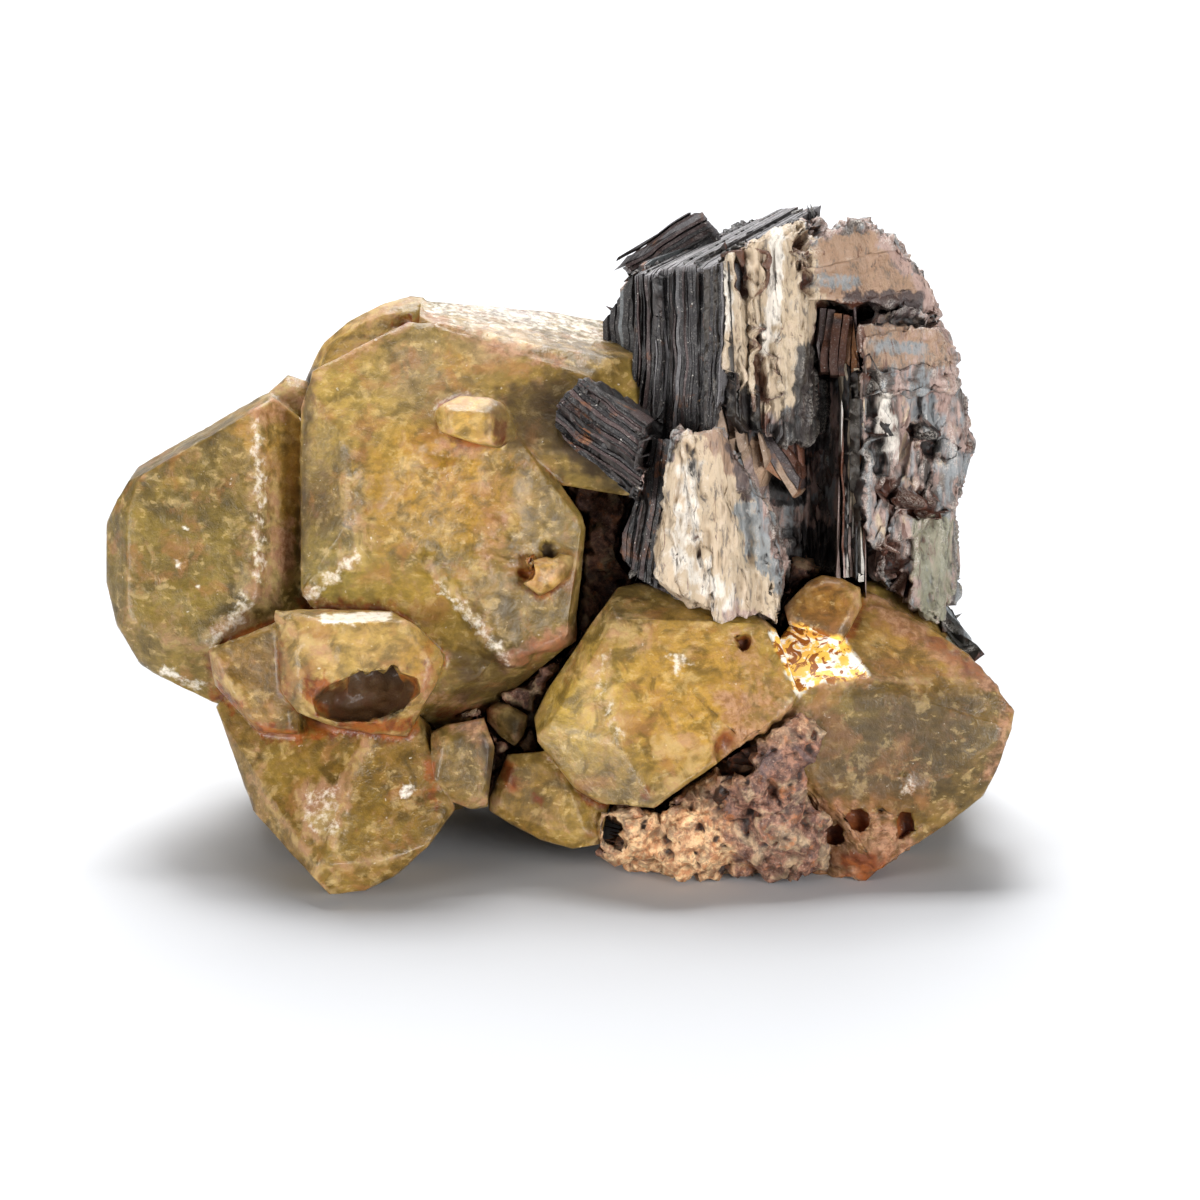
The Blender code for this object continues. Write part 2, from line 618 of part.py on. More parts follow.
def stand(things):
    """Turns the solids from the way they are drawn to standing, in metres, over the origin."""
    rise = Matrix(((1, 0, 0, 0),
                   (0, math.sin(VIEW_ABOVE), -math.cos(VIEW_ABOVE), 0),
                   (0, math.cos(VIEW_ABOVE), math.sin(VIEW_ABOVE), 0),
                   (0, 0, 0, 1)))
    for thing in things:
        thing.data.transform(rise)
    points = [vertex.co for thing in things for vertex in thing.data.vertices]
    low = Vector([min(point[axis] for point in points) for axis in range(3)])
    high = Vector([max(point[axis] for point in points) for axis in range(3)])
    base = Vector(((low.x + high.x) / 2, (low.y + high.y) / 2, low.z))
    place = Matrix.Scale(METRE, 4) @ Matrix.Translation(-base)
    for thing in things:
        thing.data.transform(place)


def paint(thing, colour, roughness, metallic):
    material = bpy.data.materials.new(thing.name)
    material.use_nodes = True
    shader = material.node_tree.nodes["Principled BSDF"]
    shader.inputs["Base Color"].default_value = colour
    shader.inputs["Roughness"].default_value = roughness
    shader.inputs["Metallic"].default_value = metallic
    thing.data.materials.clear()
    thing.data.materials.append(material)


def main():
    clear_scene()
    garnets = garnet_cluster()
    mica = mica_books()
    rock = matrix_rock()
    stand([garnets, mica, rock])
    paint(garnets, GARNET_COLOUR, 0.35, 0.0)
    paint(mica, MICA_COLOUR, 0.45, 0.2)
    paint(rock, MATRIX_COLOUR, 0.9, 0.0)


main()
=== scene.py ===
"""The looks of the garnet cluster: worn, mottled garnets, thin sheets of mica and a porous matrix.

Shapes are made in the frame that the specimen is drawn in, in millimetres: u to the right, v up and w
towards the eye, which looks down on it a little. Places seen in the photo are pixels of its 1200 x 1200
frame.
"""

import math
import random
from dataclasses import dataclass

import bmesh
import bpy
import numpy as np
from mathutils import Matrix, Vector, noise
from mathutils.bvhtree import BVHTree


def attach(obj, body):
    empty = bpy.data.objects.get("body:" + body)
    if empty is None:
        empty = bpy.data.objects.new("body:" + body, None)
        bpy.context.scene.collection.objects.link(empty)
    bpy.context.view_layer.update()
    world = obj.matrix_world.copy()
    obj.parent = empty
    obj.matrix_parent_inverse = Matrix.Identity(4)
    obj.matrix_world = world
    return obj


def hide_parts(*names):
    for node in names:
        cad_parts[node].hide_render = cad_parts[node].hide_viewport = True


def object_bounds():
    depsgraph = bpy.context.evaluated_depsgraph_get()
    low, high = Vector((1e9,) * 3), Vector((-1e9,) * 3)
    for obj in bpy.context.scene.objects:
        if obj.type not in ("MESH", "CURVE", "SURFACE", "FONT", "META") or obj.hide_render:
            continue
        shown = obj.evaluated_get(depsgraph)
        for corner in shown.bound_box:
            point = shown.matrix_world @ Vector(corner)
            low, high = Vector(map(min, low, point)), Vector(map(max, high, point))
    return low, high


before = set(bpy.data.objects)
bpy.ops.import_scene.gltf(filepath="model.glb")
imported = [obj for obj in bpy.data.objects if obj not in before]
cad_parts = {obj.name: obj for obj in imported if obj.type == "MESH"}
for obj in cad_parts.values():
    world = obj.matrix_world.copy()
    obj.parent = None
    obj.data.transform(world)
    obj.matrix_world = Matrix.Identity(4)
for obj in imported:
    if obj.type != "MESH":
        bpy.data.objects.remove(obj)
cad_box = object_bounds()

MM = 0.001
VIEW_ABOVE = math.radians(17.0)
GROUND = 2.45
MIDDLE_DEPTH = 4.689

# The photo: pixels to a millimetre, the column of u = 0, the row of v = 0 and the middle of the frame.
SCALE = 18.0
COLUMN = 560.0
ROW = 892.0
PHOTO_MIDDLE = 600.0
PHOTO_WIDTH = 1200.0

FAR = 90.0
SEED = 7

# Without a seed of its own, noise_vector gives other vectors in each run.
noise.seed_set(SEED)

# The longest edges of the meshes, and how many times a long one is halved at most.
GARNET_STEP = 0.52
MICA_STEP = 0.42
MATRIX_STEP = 0.45
MOST_SPLITS = 6

# How often and how far the points are drawn together to wear the garnets' edges round.
WEAR_TURNS = 1
WEAR = 0.32

TURN = np.array([
    [1.0, 0.0, 0.0],
    [0.0, math.sin(VIEW_ABOVE), -math.cos(VIEW_ABOVE)],
    [0.0, math.cos(VIEW_ABOVE), math.sin(VIEW_ABOVE)],
])
SHIFT = np.array([0.0, MIDDLE_DEPTH, GROUND])


def standing(drawn):
    """Drawn points, in millimetres, as points of the frame, in metres."""
    return (np.asarray(drawn) @ TURN.T - SHIFT) * MM


def drawn_from(points):
    """Points of the frame, in metres, as drawn points, in millimetres."""
    return (np.asarray(points) / MM + SHIFT) @ TURN


def seen(column, row):
    """The drawn u and v of a place in the photo."""
    return ((column - COLUMN) / SCALE, (ROW - row) / SCALE)


# Linear colours, by the thing that shows them.
OLIVE = (0.15, 0.098, 0.022)
DEEP_OLIVE = (0.062, 0.04, 0.012)
HONEY = (0.36, 0.205, 0.04)
KHAKI = (0.235, 0.165, 0.062)
PALE_CRUST = (0.62, 0.46, 0.225)
PINK_CRUST = (0.5, 0.285, 0.18)
RUST = (0.15, 0.036, 0.008)
SHADOW_BROWN = (0.02, 0.008, 0.004)
WHITE_SPECK_AND_HIGHLIGHT = (0.8, 0.74, 0.64)
LEMON = (0.47, 0.33, 0.075)
ORANGE_TAN = (0.36, 0.165, 0.065)
BURNT_ORANGE = (0.29, 0.085, 0.015)
PINK_DEEP = (0.25, 0.105, 0.065)
# The painted reflection on the gleaming facet: darker spots, and an orange and white glint.
PAINTED_GLINT_SHADE = (0.3, 0.09, 0.01)
PAINTED_GLINT_ORANGE = (0.95, 0.55, 0.1)
PAINTED_GLINT_WHITE = (1.0, 0.96, 0.84)
MATRIX_DARK = (0.1, 0.036, 0.022)
MATRIX_PINK = (0.33, 0.165, 0.105)
MATRIX_CREAM = (0.48, 0.34, 0.2)
MATRIX_MAUVE = (0.12, 0.075, 0.07)
MATRIX_ORANGE = (0.42, 0.15, 0.05)
MATRIX_GRAIN = (0.56, 0.43, 0.33)
PEACH_DARK = (0.52, 0.235, 0.1)
PEACH = (0.8, 0.54, 0.29)
FLOOR_WHITE = (0.59, 0.6, 0.62)

# How much deeper the garnets' and the mica's colours are than their parts.
GARNET_DEPTH = 1.12
MICA_DEPTH = 1.20

# How the crystals' tints lean, in red, green and blue.
WARMTH = np.array([0.97, 0.96, 0.52])

# How much the plain colour counts where no tint is near, and the plain colour itself.
PLAIN_SHARE = 0.15
PLAIN = np.array(OLIVE) * 0.6 + np.array(KHAKI) * 0.5


@dataclass
class Tint:
    """The tint of a crystal: its middle in the photo, and its depth and reach in millimetres."""

    middle: tuple
    depth: float
    reach: float
    colour: tuple


TINTS = [
    Tint((200, 560), 5.0, 6.0, (0.14, 0.1, 0.036)),
    Tint((285, 470), 4.0, 3.0, (0.64, 0.39, 0.19)),
    Tint((350, 420), 6.0, 4.5, (0.43, 0.3, 0.17)),
    Tint((440, 490), 8.0, 4.0, (0.52, 0.3, 0.07)),
    Tint((325, 500), 6.0, 3.0, (0.12, 0.062, 0.006)),
    Tint((430, 620), 8.0, 4.0, (0.3, 0.19, 0.075)),
    Tint((530, 400), 4.0, 4.5, (0.21, 0.125, 0.05)),
    Tint((430, 380), 7.5, 2.6, (0.3, 0.225, 0.26)),
    Tint((540, 415), 4.0, 2.6, (0.15, 0.1, 0.13)),
    Tint((500, 315), 0.0, 3.0, (0.42, 0.36, 0.62)),
    Tint((500, 345), 5.0, 2.4, (0.64, 0.48, 0.6)),
    Tint((475, 418), 11.0, 1.8, (0.64, 0.42, 0.24)),
    Tint((548, 575), 9.5, 1.4, (0.62, 0.37, 0.2)),
    Tint((350, 300), 0.0, 3.0, (0.42, 0.29, 0.24)),
    Tint((470, 690), 8.5, 2.0, (0.2, 0.13, 0.11)),
    Tint((340, 580), 8.0, 2.6, (0.3, 0.235, 0.11)),
    Tint((420, 560), 9.0, 2.6, (0.27, 0.19, 0.07)),
    Tint((350, 350), 1.0, 3.0, (0.5, 0.33, 0.17)),
    Tint((360, 650), 12.0, 4.0, (0.5, 0.33, 0.21)),
    Tint((255, 680), 9.0, 3.0, (0.26, 0.14, 0.045)),
    Tint((350, 800), 9.0, 6.0, (0.23, 0.13, 0.035)),
    Tint((465, 760), 9.0, 2.5, (0.14, 0.09, 0.06)),
    Tint((550, 810), 7.0, 3.5, (0.24, 0.14, 0.045)),
    Tint((700, 700), 10.0, 4.5, (0.52, 0.305, 0.11)),
    Tint((595, 700), 9.0, 3.0, (0.58, 0.4, 0.17)),
    Tint((830, 600), 8.0, 3.0, (0.22, 0.095, 0.04)),
    Tint((920, 640), 7.0, 3.5, (0.56, 0.32, 0.15)),
    Tint((900, 740), 8.0, 5.0, (0.105, 0.066, 0.036)),
    Tint((850, 840), 7.0, 4.5, (0.23, 0.1, 0.045)),
]


class Mark:
    """A spot or a line on the surface, as it is seen in the photo.

    reach: how many pixels it fades over.
    strength: how much it adds.
    places: its pixels.
    """

    filled = False

    def __init__(self, reach, strength, *places):
        self.reach = reach
        self.strength = strength
        self.places = list(places)


class Patch(Mark):
    """A mark whose pixels are an outline that is filled."""

    filled = True


# How far the outline of a mark wanders, as a share of its reach.
WANDER = 0.22

# The garnets' channels. The marks of each go from left to right.
MARKS = {
    "pale": [
        Mark(8, 0.35, (131, 525), (131, 600)),
        Mark(14, 0.55, (170, 640), (213, 646)),
        Mark(7, 0.8, (222, 664), (235, 687), (245, 700)),
        Mark(16, 0.8, (247, 585), (258, 605), (235, 625), (213, 640)),
        Mark(6, 0.7, (253, 777), (284, 816), (321, 867)),
        Mark(9, 0.6, (256, 750), (262, 785)),
        Mark(9, 0.75, (259, 420), (262, 500), (259, 590)),
        Mark(22, 0.75, (268, 470), (272, 560), (262, 600)),
        Mark(8, 0.8, (279, 618), (297, 634), (333, 652)),
        Mark(16, 0.9, (282, 388), (296, 400)),
        Patch(12, 0.85, (308, 790), (345, 785), (335, 835), (312, 830)),
        Mark(6, 0.6, (322, 867), (382, 858), (404, 853)),
        Mark(12, 0.6, (350, 325), (400, 300)),
        Mark(20, 0.55, (350, 500), (364, 545)),
        # The white line along this ridge is painted highlight as well as wear.
        Mark(9, 0.8, (360, 552), (332, 576), (306, 600)),
        Mark(12, 0.55, (364, 480), (360, 560)),
        Mark(8, 0.6, (372, 735), (352, 775)),
        Mark(7, 0.7, (430, 565), (460, 600), (508, 658)),
        Mark(9, 0.9, (445, 400), (490, 402)),
        Mark(6, 0.4, (450, 800), (485, 803)),
        Mark(12, 0.5, (545, 820), (580, 836)),
        Mark(12, 0.7, (550, 575), (570, 566)),
        Mark(20, 0.6, (585, 670), (600, 720)),
        Mark(18, 0.6, (605, 620), (640, 640)),
        Mark(7, 0.6, (608, 655), (614, 700), (622, 742)),
        Mark(9, 0.6, (655, 797), (712, 745)),
        Mark(14, 0.7, (660, 747), (690, 742)),
        Mark(6, 0.5, (797, 700), (793, 740)),
        Mark(5, 0.7, (812, 684), (868, 680), (925, 682)),
    ],
    "pink": [
        Mark(16, 0.6, (262, 420), (300, 400)),
        Mark(14, 0.8, (288, 530), (286, 565)),
        Mark(14, 0.6, (308, 805), (330, 795)),
        Mark(7, 0.6, (316, 377), (360, 352), (410, 327)),
        Mark(8, 0.7, (430, 318), (480, 345), (560, 362)),
        Mark(8, 0.8, (440, 450), (480, 452)),
        Mark(22, 0.7, (440, 700), (480, 725)),
        Mark(20, 0.5, (495, 480), (490, 550)),
        Mark(12, 0.9, (505, 660), (540, 645), (570, 634)),
        Mark(20, 0.7, (730, 700), (800, 720)),
        Mark(22, 0.5, (740, 645), (770, 690)),
        Patch(26, 0.75, (740, 720), (790, 810), (900, 840), (840, 890), (720, 880)),
        Mark(8, 0.6, (785, 610), (795, 650)),
        Mark(13, 0.9, (870, 600), (930, 645), (990, 684)),
        Mark(9, 0.7, (1003, 700), (1003, 735), (985, 775)),
    ],
    "rust": [
        Mark(12, 0.7, (218, 690), (236, 705)),
        Mark(9, 0.8, (262, 728), (300, 734), (360, 728), (410, 722)),
        Mark(7, 0.5, (282, 640), (286, 700)),
        Mark(7, 0.6, (300, 600), (330, 606), (390, 606)),
        Mark(20, 1.0, (320, 690), (360, 712), (400, 690)),
        Mark(12, 0.8, (403, 322)),
        Mark(8, 0.5, (425, 690), (432, 640)),
        Mark(8, 0.7, (430, 760), (437, 800)),
        Mark(10, 0.6, (440, 715), (490, 712)),
        Mark(9, 0.8, (502, 425), (500, 440)),
        Mark(9, 0.8, (505, 760), (512, 785)),
        Mark(12, 0.5, (520, 655), (560, 640)),
        Mark(11, 1.0, (528, 571)),
        Mark(9, 0.8, (537, 797)),
        Mark(8, 0.5, (640, 790), (655, 800)),
        Mark(7, 1.0, (742, 640)),
        Mark(8, 1.0, (832, 835)),
        Mark(15, 0.9, (850, 860), (875, 866)),
        Mark(10, 1.0, (857, 820)),
        Mark(9, 1.0, (904, 827)),
        Mark(11, 0.6, (930, 640), (975, 672)),
    ],
    # Painted shade: the pocket, the gaps between crystals and facets that face away from the light are
    # painted darker, with some darker glass.
    "dark": [
        Mark(7, 0.6, (310, 380), (306, 470), (303, 560)),
        Mark(22, 0.35, (318, 470), (322, 560)),
        Patch(9, 0.85, (325, 695), (392, 682), (412, 690), (395, 712), (345, 716)),
        Patch(16, 0.5, (462, 655), (500, 662), (498, 692), (466, 698)),
        Mark(6, 0.7, (485, 735), (493, 790)),
        Patch(22, 0.6, (500, 410), (560, 390), (565, 430), (510, 440)),
        Mark(9, 1.0, (551, 550)),
        Mark(18, 0.8, (560, 440), (600, 470)),
        Patch(26, 0.35, (830, 720), (960, 705), (930, 775), (840, 790)),
    ],
    "honey": [
        Mark(14, 0.5, (170, 480)),
        Mark(22, 0.9, (252, 430)),
        Mark(18, 0.6, (276, 450), (282, 540)),
        Patch(30, 0.5, (380, 470), (430, 450), (470, 520), (400, 540)),
        Mark(20, 0.8, (410, 650), (430, 665)),
        Mark(20, 0.6, (455, 365), (480, 420)),
        Mark(30, 0.4, (690, 700), (750, 690)),
        Mark(14, 0.4, (800, 600), (850, 600)),
    ],
    # Chalky white rims and specks, with painted highlights on the crown's top face and along the white ridge
    # line.
    "chalk_and_highlight": [
        Mark(7, 0.7, (165, 668), (200, 686)),
        Mark(5, 1.0, (180, 565)),
        Mark(5, 1.0, (187, 527)),
        Mark(5, 1.0, (200, 588)),
        Mark(12, 0.56, (250, 598), (235, 622), (213, 640)),
        Mark(8, 0.56, (258, 425), (261, 500), (259, 585)),
        Patch(8, 0.46, (312, 795), (340, 790), (335, 830), (315, 825)),
        Mark(6, 1.0, (326, 620), (392, 615)),
        # Painted highlight: the white line along this ridge.
        Mark(9, 0.60, (360, 556), (332, 578), (308, 600)),
        Mark(12, 0.8, (408, 789)),
        Mark(8, 0.60, (437, 584), (465, 610), (506, 656)),
        # Painted highlight: the crown's top face, white where it reflects the light, is painted white here.
        Mark(22, 0.62, (440, 308), (520, 316), (600, 328)),
        Mark(9, 0.42, (606, 650), (600, 690), (618, 735)),
        Mark(14, 0.75, (678, 662)),
        Mark(13, 0.6, (905, 784)),
    ],
    "rough": [
        Patch(9, 0.8, (325, 695), (392, 682), (412, 690), (395, 712), (345, 716)),
        Mark(22, 0.7, (495, 480), (500, 550)),
        Patch(22, 0.8, (760, 700), (790, 790), (900, 830), (840, 890), (720, 890)),
    ],
    # A painted reflection: the facet that gleams is given a bright glint in its colour.
    "painted_glint": [
        Patch(4, 1.0, (771, 634), (790, 625), (841, 641), (866, 676), (812, 681), (797, 690)),
    ],
}

# Ridges that stand up from the facets, and pits and seams in them. Strength is a height, in millimetres.
RIDGES = [
    Mark(9, 0.11, (261, 415), (263, 500), (258, 585)),
    Mark(12, 0.12, (258, 595), (240, 622), (213, 642)),
    Mark(10, 0.14, (366, 470), (362, 548), (332, 574), (306, 600)),
    Mark(10, 0.16, (425, 560), (460, 600), (508, 660)),
    Mark(10, 0.14, (508, 660), (540, 646), (571, 634)),
    Mark(6, 0.07, (316, 377), (360, 352), (412, 326)),
    Mark(8, 0.14, (279, 616), (297, 634), (333, 653)),
    Mark(7, 0.10, (222, 664), (235, 687), (245, 702)),
    Patch(8, 0.10, (306, 790), (345, 784), (338, 836), (312, 832)),
    Mark(8, 0.09, (372, 733), (352, 776), (330, 858)),
    Mark(7, 0.14, (812, 684), (868, 680), (928, 682)),
    Mark(9, 0.12, (868, 596), (930, 645), (990, 684)),
    Mark(8, 0.10, (608, 655), (614, 700), (622, 742)),
    Mark(6, 0.08, (440, 318), (470, 335), (560, 356)),
    Mark(13, 0.18, (905, 784)),
    Patch(12, 0.12, (478, 470), (515, 480), (512, 560), (482, 550)),
    Mark(10, -0.30, (452, 655), (498, 668)),
    Mark(10, -1.20, (358, 682), (394, 680)),
    Mark(8, -0.50, (742, 640)),
    Mark(9, -0.80, (528, 571)),
    Mark(8, -0.60, (551, 550)),
    Mark(6, -0.30, (430, 452), (448, 458)),
    Mark(7, -0.80, (830, 832), (834, 838)),
    Mark(9, -0.90, (852, 822), (860, 817)),
    Mark(7, -0.70, (903, 820), (905, 833)),
    Mark(6, -0.60, (800, 850)),
    Mark(9, -0.80, (770, 800)),
    Mark(6, -0.60, (880, 812)),
]

# The broken mica's channels. The marks of each go from left to right.
MICA_MARKS = {
    "cream": [
        Patch(12, 1.0, (660, 500), (690, 440), (745, 510), (775, 600), (770, 630), (725, 628), (640, 570)),
        Patch(12, 0.9, (716, 262), (800, 232), (812, 300), (790, 400), (740, 420), (716, 380)),
        Mark(6, 0.9, (848, 362), (850, 590)),
    ],
    "white": [
        Mark(16, 0.7, (690, 470), (680, 560), (725, 600)),
        Mark(7, 0.8, (724, 275), (728, 330)),
        Mark(9, 1.0, (777, 232), (775, 290), (765, 350)),
        Mark(12, 0.8, (880, 400), (890, 450)),
    ],
    "rusty": [
        Mark(8, 1.0, (742, 252), (744, 292)),
        Mark(9, 0.9, (745, 400), (775, 440)),
        Mark(7, 0.8, (754, 330), (762, 400)),
        Mark(7, 0.7, (800, 240), (806, 290)),
        Patch(9, 1.0, (822, 310), (858, 310), (852, 372), (822, 372)),
        Mark(14, 1.0, (885, 490), (925, 510)),
        Mark(13, 1.0, (885, 545), (905, 590)),
    ],
    "brown": [
        Mark(12, 0.8, (716, 370), (735, 400)),
        Mark(8, 0.8, (730, 440), (745, 500)),
        Patch(8, 1.0, (845, 300), (918, 300), (910, 318), (850, 318)),
    ],
    "tan": [
        Patch(10, 0.8, (702, 400), (735, 400), (735, 480), (702, 480)),
        Patch(12, 1.0, (806, 255), (866, 240), (915, 288), (860, 300), (815, 300)),
        Patch(10, 0.7, (862, 325), (935, 325), (945, 360), (870, 362)),
    ],
    "blue": [
        Mark(15, 0.9, (745, 515), (765, 560)),
        Mark(14, 0.8, (775, 575), (800, 595)),
        Mark(12, 0.7, (815, 280), (850, 285)),
        Mark(10, 0.7, (875, 345), (920, 350)),
        Mark(18, 0.8, (920, 400), (960, 470)),
    ],
    "pinkish": [
        Mark(12, 0.8, (725, 610), (770, 628)),
        Mark(8, 0.8, (880, 240), (918, 285), (938, 330)),
        Mark(8, 0.7, (940, 380), (950, 440)),
    ],
    "sage": [
        Patch(10, 0.75, (918, 520), (955, 525), (955, 610), (925, 620)),
        Mark(12, 0.8, (940, 610), (975, 655)),
    ],
    # Black patches in the gaps and hollows between the books: painted shade.
    "black": [
        Patch(9, 1.0, (772, 430), (804, 430), (800, 500), (775, 500)),
        Patch(9, 1.0, (791, 531), (837, 531), (835, 574), (795, 574)),
        Patch(9, 1.0, (800, 354), (825, 354), (822, 445), (800, 445)),
    ],
}

# Hollows in the broken mica. Their strength is a height, in millimetres. Each is also painted in its
# channel's colour; the black ones are painted shade.
MICA_HOLLOWS = {
    "rusty": [
        Mark(12, -1.3, (890, 492), (925, 508)),
        Mark(12, -1.3, (890, 548), (900, 588)),
        Mark(8, -0.9, (742, 256), (744, 290)),
        Mark(7, -0.9, (754, 332), (762, 395)),
        Mark(7, -0.9, (802, 240), (806, 290)),
    ],
    "brown": [
        Mark(10, -0.9, (716, 372), (742, 395)),
    ],
    "blue": [
        Mark(7, -0.5, (742, 500), (748, 560)),
    ],
    # Black hollows: painted shade.
    "black": [
        Mark(11, -1.2, (918, 430), (935, 450)),
        Mark(8, -1.0, (868, 380), (880, 470)),
        Mark(6, -0.5, (690, 450), (700, 500)),
        Mark(6, -0.8, (860, 318), (930, 322)),
    ],
}

# Where the matrix is pale orange.
MATRIX_MARKS = [
    Patch(22, 1.10, (612, 830), (700, 815), (720, 860), (640, 875)),
    Mark(18, 0.5, (690, 780), (740, 765)),
    Mark(16, 0.4, (760, 735), (800, 725)),
]

# The hollows of the matrix. Strength is the share of their full depth. They are also painted with shade and
# rust, like the pits.
MATRIX_HOLLOWS = [
    Patch(9, 0.95, (720, 742), (744, 736), (742, 764), (726, 772)),
    Mark(9, 0.8, (700, 765), (712, 752)),
    Mark(8, 0.8, (608, 824), (618, 846)),
    Mark(6, 0.6, (652, 800), (662, 806)),
    Mark(6, 0.7, (770, 782), (776, 800)),
]


@dataclass
class Book:
    """A book of mica that shows its single sheets. Where the solids have other books, the mica is broken.

    outline, depth, facing, length, striae, plates, run: as in the solids, in the drawn frame.
    sheet: how thick its sheets are.
    step: how far single sheets stand forward or back.
    ragged: how uneven the edge of a sheet is.
    palette: the colours of its sheets.
    """

    outline: list
    depth: float
    facing: tuple
    length: float
    striae: float
    plates: int
    sheet: float
    step: float
    ragged: float
    palette: str
    run: tuple = (0.0, 0.0, -1.0)


BOOKS = {
    "dark": Book(
        [(4.0, 34.0), (3.9, 27.3), (4.9, 21.8), (7.8, 21.8), (8.9, 27.3), (8.9, 35.0)],
        6.8, (-30, 0), 12.5, 90, 7, 0.17, 0.20, 0.05, "dark", (0.46, 0.26, -0.85)),
    # The wing is a face of the book that lies in shade: its black and charcoal sheets are painted shade.
    "wing": Book(
        [(4.1, 34.4), (2.8, 32.2), (2.4, 31.4), (2.4, 30.2), (4.0, 26.8), (5.6, 27.3), (5.6, 34.6)],
        4.0, (-35, 0), 5.0, 90, 3, 0.25, 0.25, 0.08, "black", (0.46, 0.26, -0.85)),
    "top_rear": Book(
        [(3.4, 35.0), (4.2, 33.9), (6.0, 31.5), (10.0, 31.5), (10.0, 35.1), (8.0, 37.8), (7.1, 37.6),
         (4.6, 36.1)],
        0.5, (0, 0), 6.0, 30, 4, 0.25, 0.25, 0.08, "dark"),
    "tilted": Book(
        [(-0.3, 26.9), (-0.3, 26.1), (0.5, 25.0), (4.1, 21.5), (4.6, 23.4), (5.1, 25.9), (1.3, 28.6)],
        9.8, (-15, 10), 9.0, -36, 5, 0.20, 0.35, 0.1, "banded", (0.1, 0.05, -1.0)),
    "low_dark": Book(
        [(5.3, 25.1), (3.5, 20.1), (3.4, 18.7), (4.3, 17.5), (6.2, 16.4), (6.8, 20.0), (6.8, 25.0)],
        8.8, (-30, -8), 7.0, 80, 4, 0.22, 0.25, 0.08, "banded"),
    "tail": Book(
        [(20.6, 17.0), (18.9, 16.2), (22.2, 13.2), (23.2, 12.9), (22.8, 14.0), (21.7, 15.9)],
        2.2, (10, 10), 4.0, -52, 2, 0.3, 0.2, 0.1, "green"),
    "fin": Book(
        [(15.6, 29.3), (15.4, 17.3), (16.8, 17.3), (16.8, 29.3)],
        5.5, (0, 0), 5.0, 91, 2, 0.22, 0.4, 0.3, "pale"),
    "inner_tan": Book(
        [(7.8, 27.6), (7.6, 21.5), (9.4, 20.0), (10.8, 21.5), (11.6, 24.2), (10.4, 27.8)],
        7.4, (12, 0), 4.0, 100, 3, 0.45, 0.5, 0.3, "tan", (0.1, 0.1, -1.0)),
    "inner_rust": Book(
        [(10.2, 27.6), (11.2, 23.6), (13.2, 21.6), (13.2, 23.6), (12.6, 27.6)],
        6.0, (20, 0), 4.0, 118, 3, 0.4, 0.5, 0.3, "rust", (0.1, 0.1, -1.0)),
    "recess": Book(
        [(14.4, 32.4), (14.5, 28.6), (16.6, 28.6), (16.5, 32.3)],
        5.2, (-10, 0), 3.0, 88, 3, 0.35, 0.3, 0.2, "rust"),
}

# How far a group of plates slides and stands back at most, as in the solids.
PLATE_SLIDE = 0.2
PLATE_STEP = 0.5

# Along a sheet, the length of one step. Between sheets, the gap. Sheets shorter than NARROW are left out.
SHEET_STEP = 0.36
SHEET_GAP = 0.035
NARROW = 0.35

# How often a sheet breaks to another level, and the raggedness from which its colour changes there too.
BREAK_CHANCE = 0.12
RAGGED_ENOUGH = 0.15

CHARCOAL = (0.02, 0.017, 0.018)
PURPLE_BROWN = (0.06, 0.034, 0.032)
SILVER = (0.16, 0.15, 0.155)
CREAM = (0.56, 0.45, 0.32)
CHALK = (0.74, 0.69, 0.62)
BLUE_GREY = (0.25, 0.27, 0.28)
TAN = (0.36, 0.235, 0.15)
DARK_RUST = (0.12, 0.035, 0.012)
ORANGE_RUST = (0.33, 0.13, 0.04)
PINK_GREY = (0.42, 0.3, 0.26)
SAGE = (0.3, 0.29, 0.205)
BLACK = (0.012, 0.01, 0.01)

# Each palette holds colours with their shares.
PALETTES = {
    "dark": [(CHARCOAL, 4), (PURPLE_BROWN, 4), (SILVER, 1.6), (BLACK, 1.5)],
    # The black palette paints the wing's shade.
    "black": [(CHARCOAL, 3), (BLACK, 3), (BLUE_GREY, 0.7)],
    "banded": [(CHARCOAL, 4), (SILVER, 1), (CHALK, 0.7), (PURPLE_BROWN, 3), (BLACK, 2)],
    "pale": [(CREAM, 4), (CHALK, 2), (DARK_RUST, 1.6), (PINK_GREY, 2), (BLUE_GREY, 1.2), (ORANGE_RUST, 0.8)],
    "tan": [(TAN, 4), (PINK_GREY, 2), (PURPLE_BROWN, 1), (BLUE_GREY, 1)],
    "rust": [(DARK_RUST, 5), (PURPLE_BROWN, 3), (TAN, 1), (ORANGE_RUST, 1)],
    "green": [(SAGE, 4), (BLUE_GREY, 2), (CREAM, 1), (DARK_RUST, 0.8)],
}


def direction(yaw, pitch):
    """The unit vector that turns yaw degrees to the right and pitch degrees up from the eye's line."""
    yaw = math.radians(yaw)
    pitch = math.radians(pitch)
    return Vector((math.sin(yaw) * math.cos(pitch), math.sin(pitch), math.cos(yaw) * math.cos(pitch)))


def on_plane(normal, point, place):
    """The point of a plane that is seen at (u, v)."""
    u, v = place
    w = point.z - (normal.x * (u - point.x) + normal.y * (v - point.y)) / normal.z
    return Vector((u, v, w))


# Shaders.


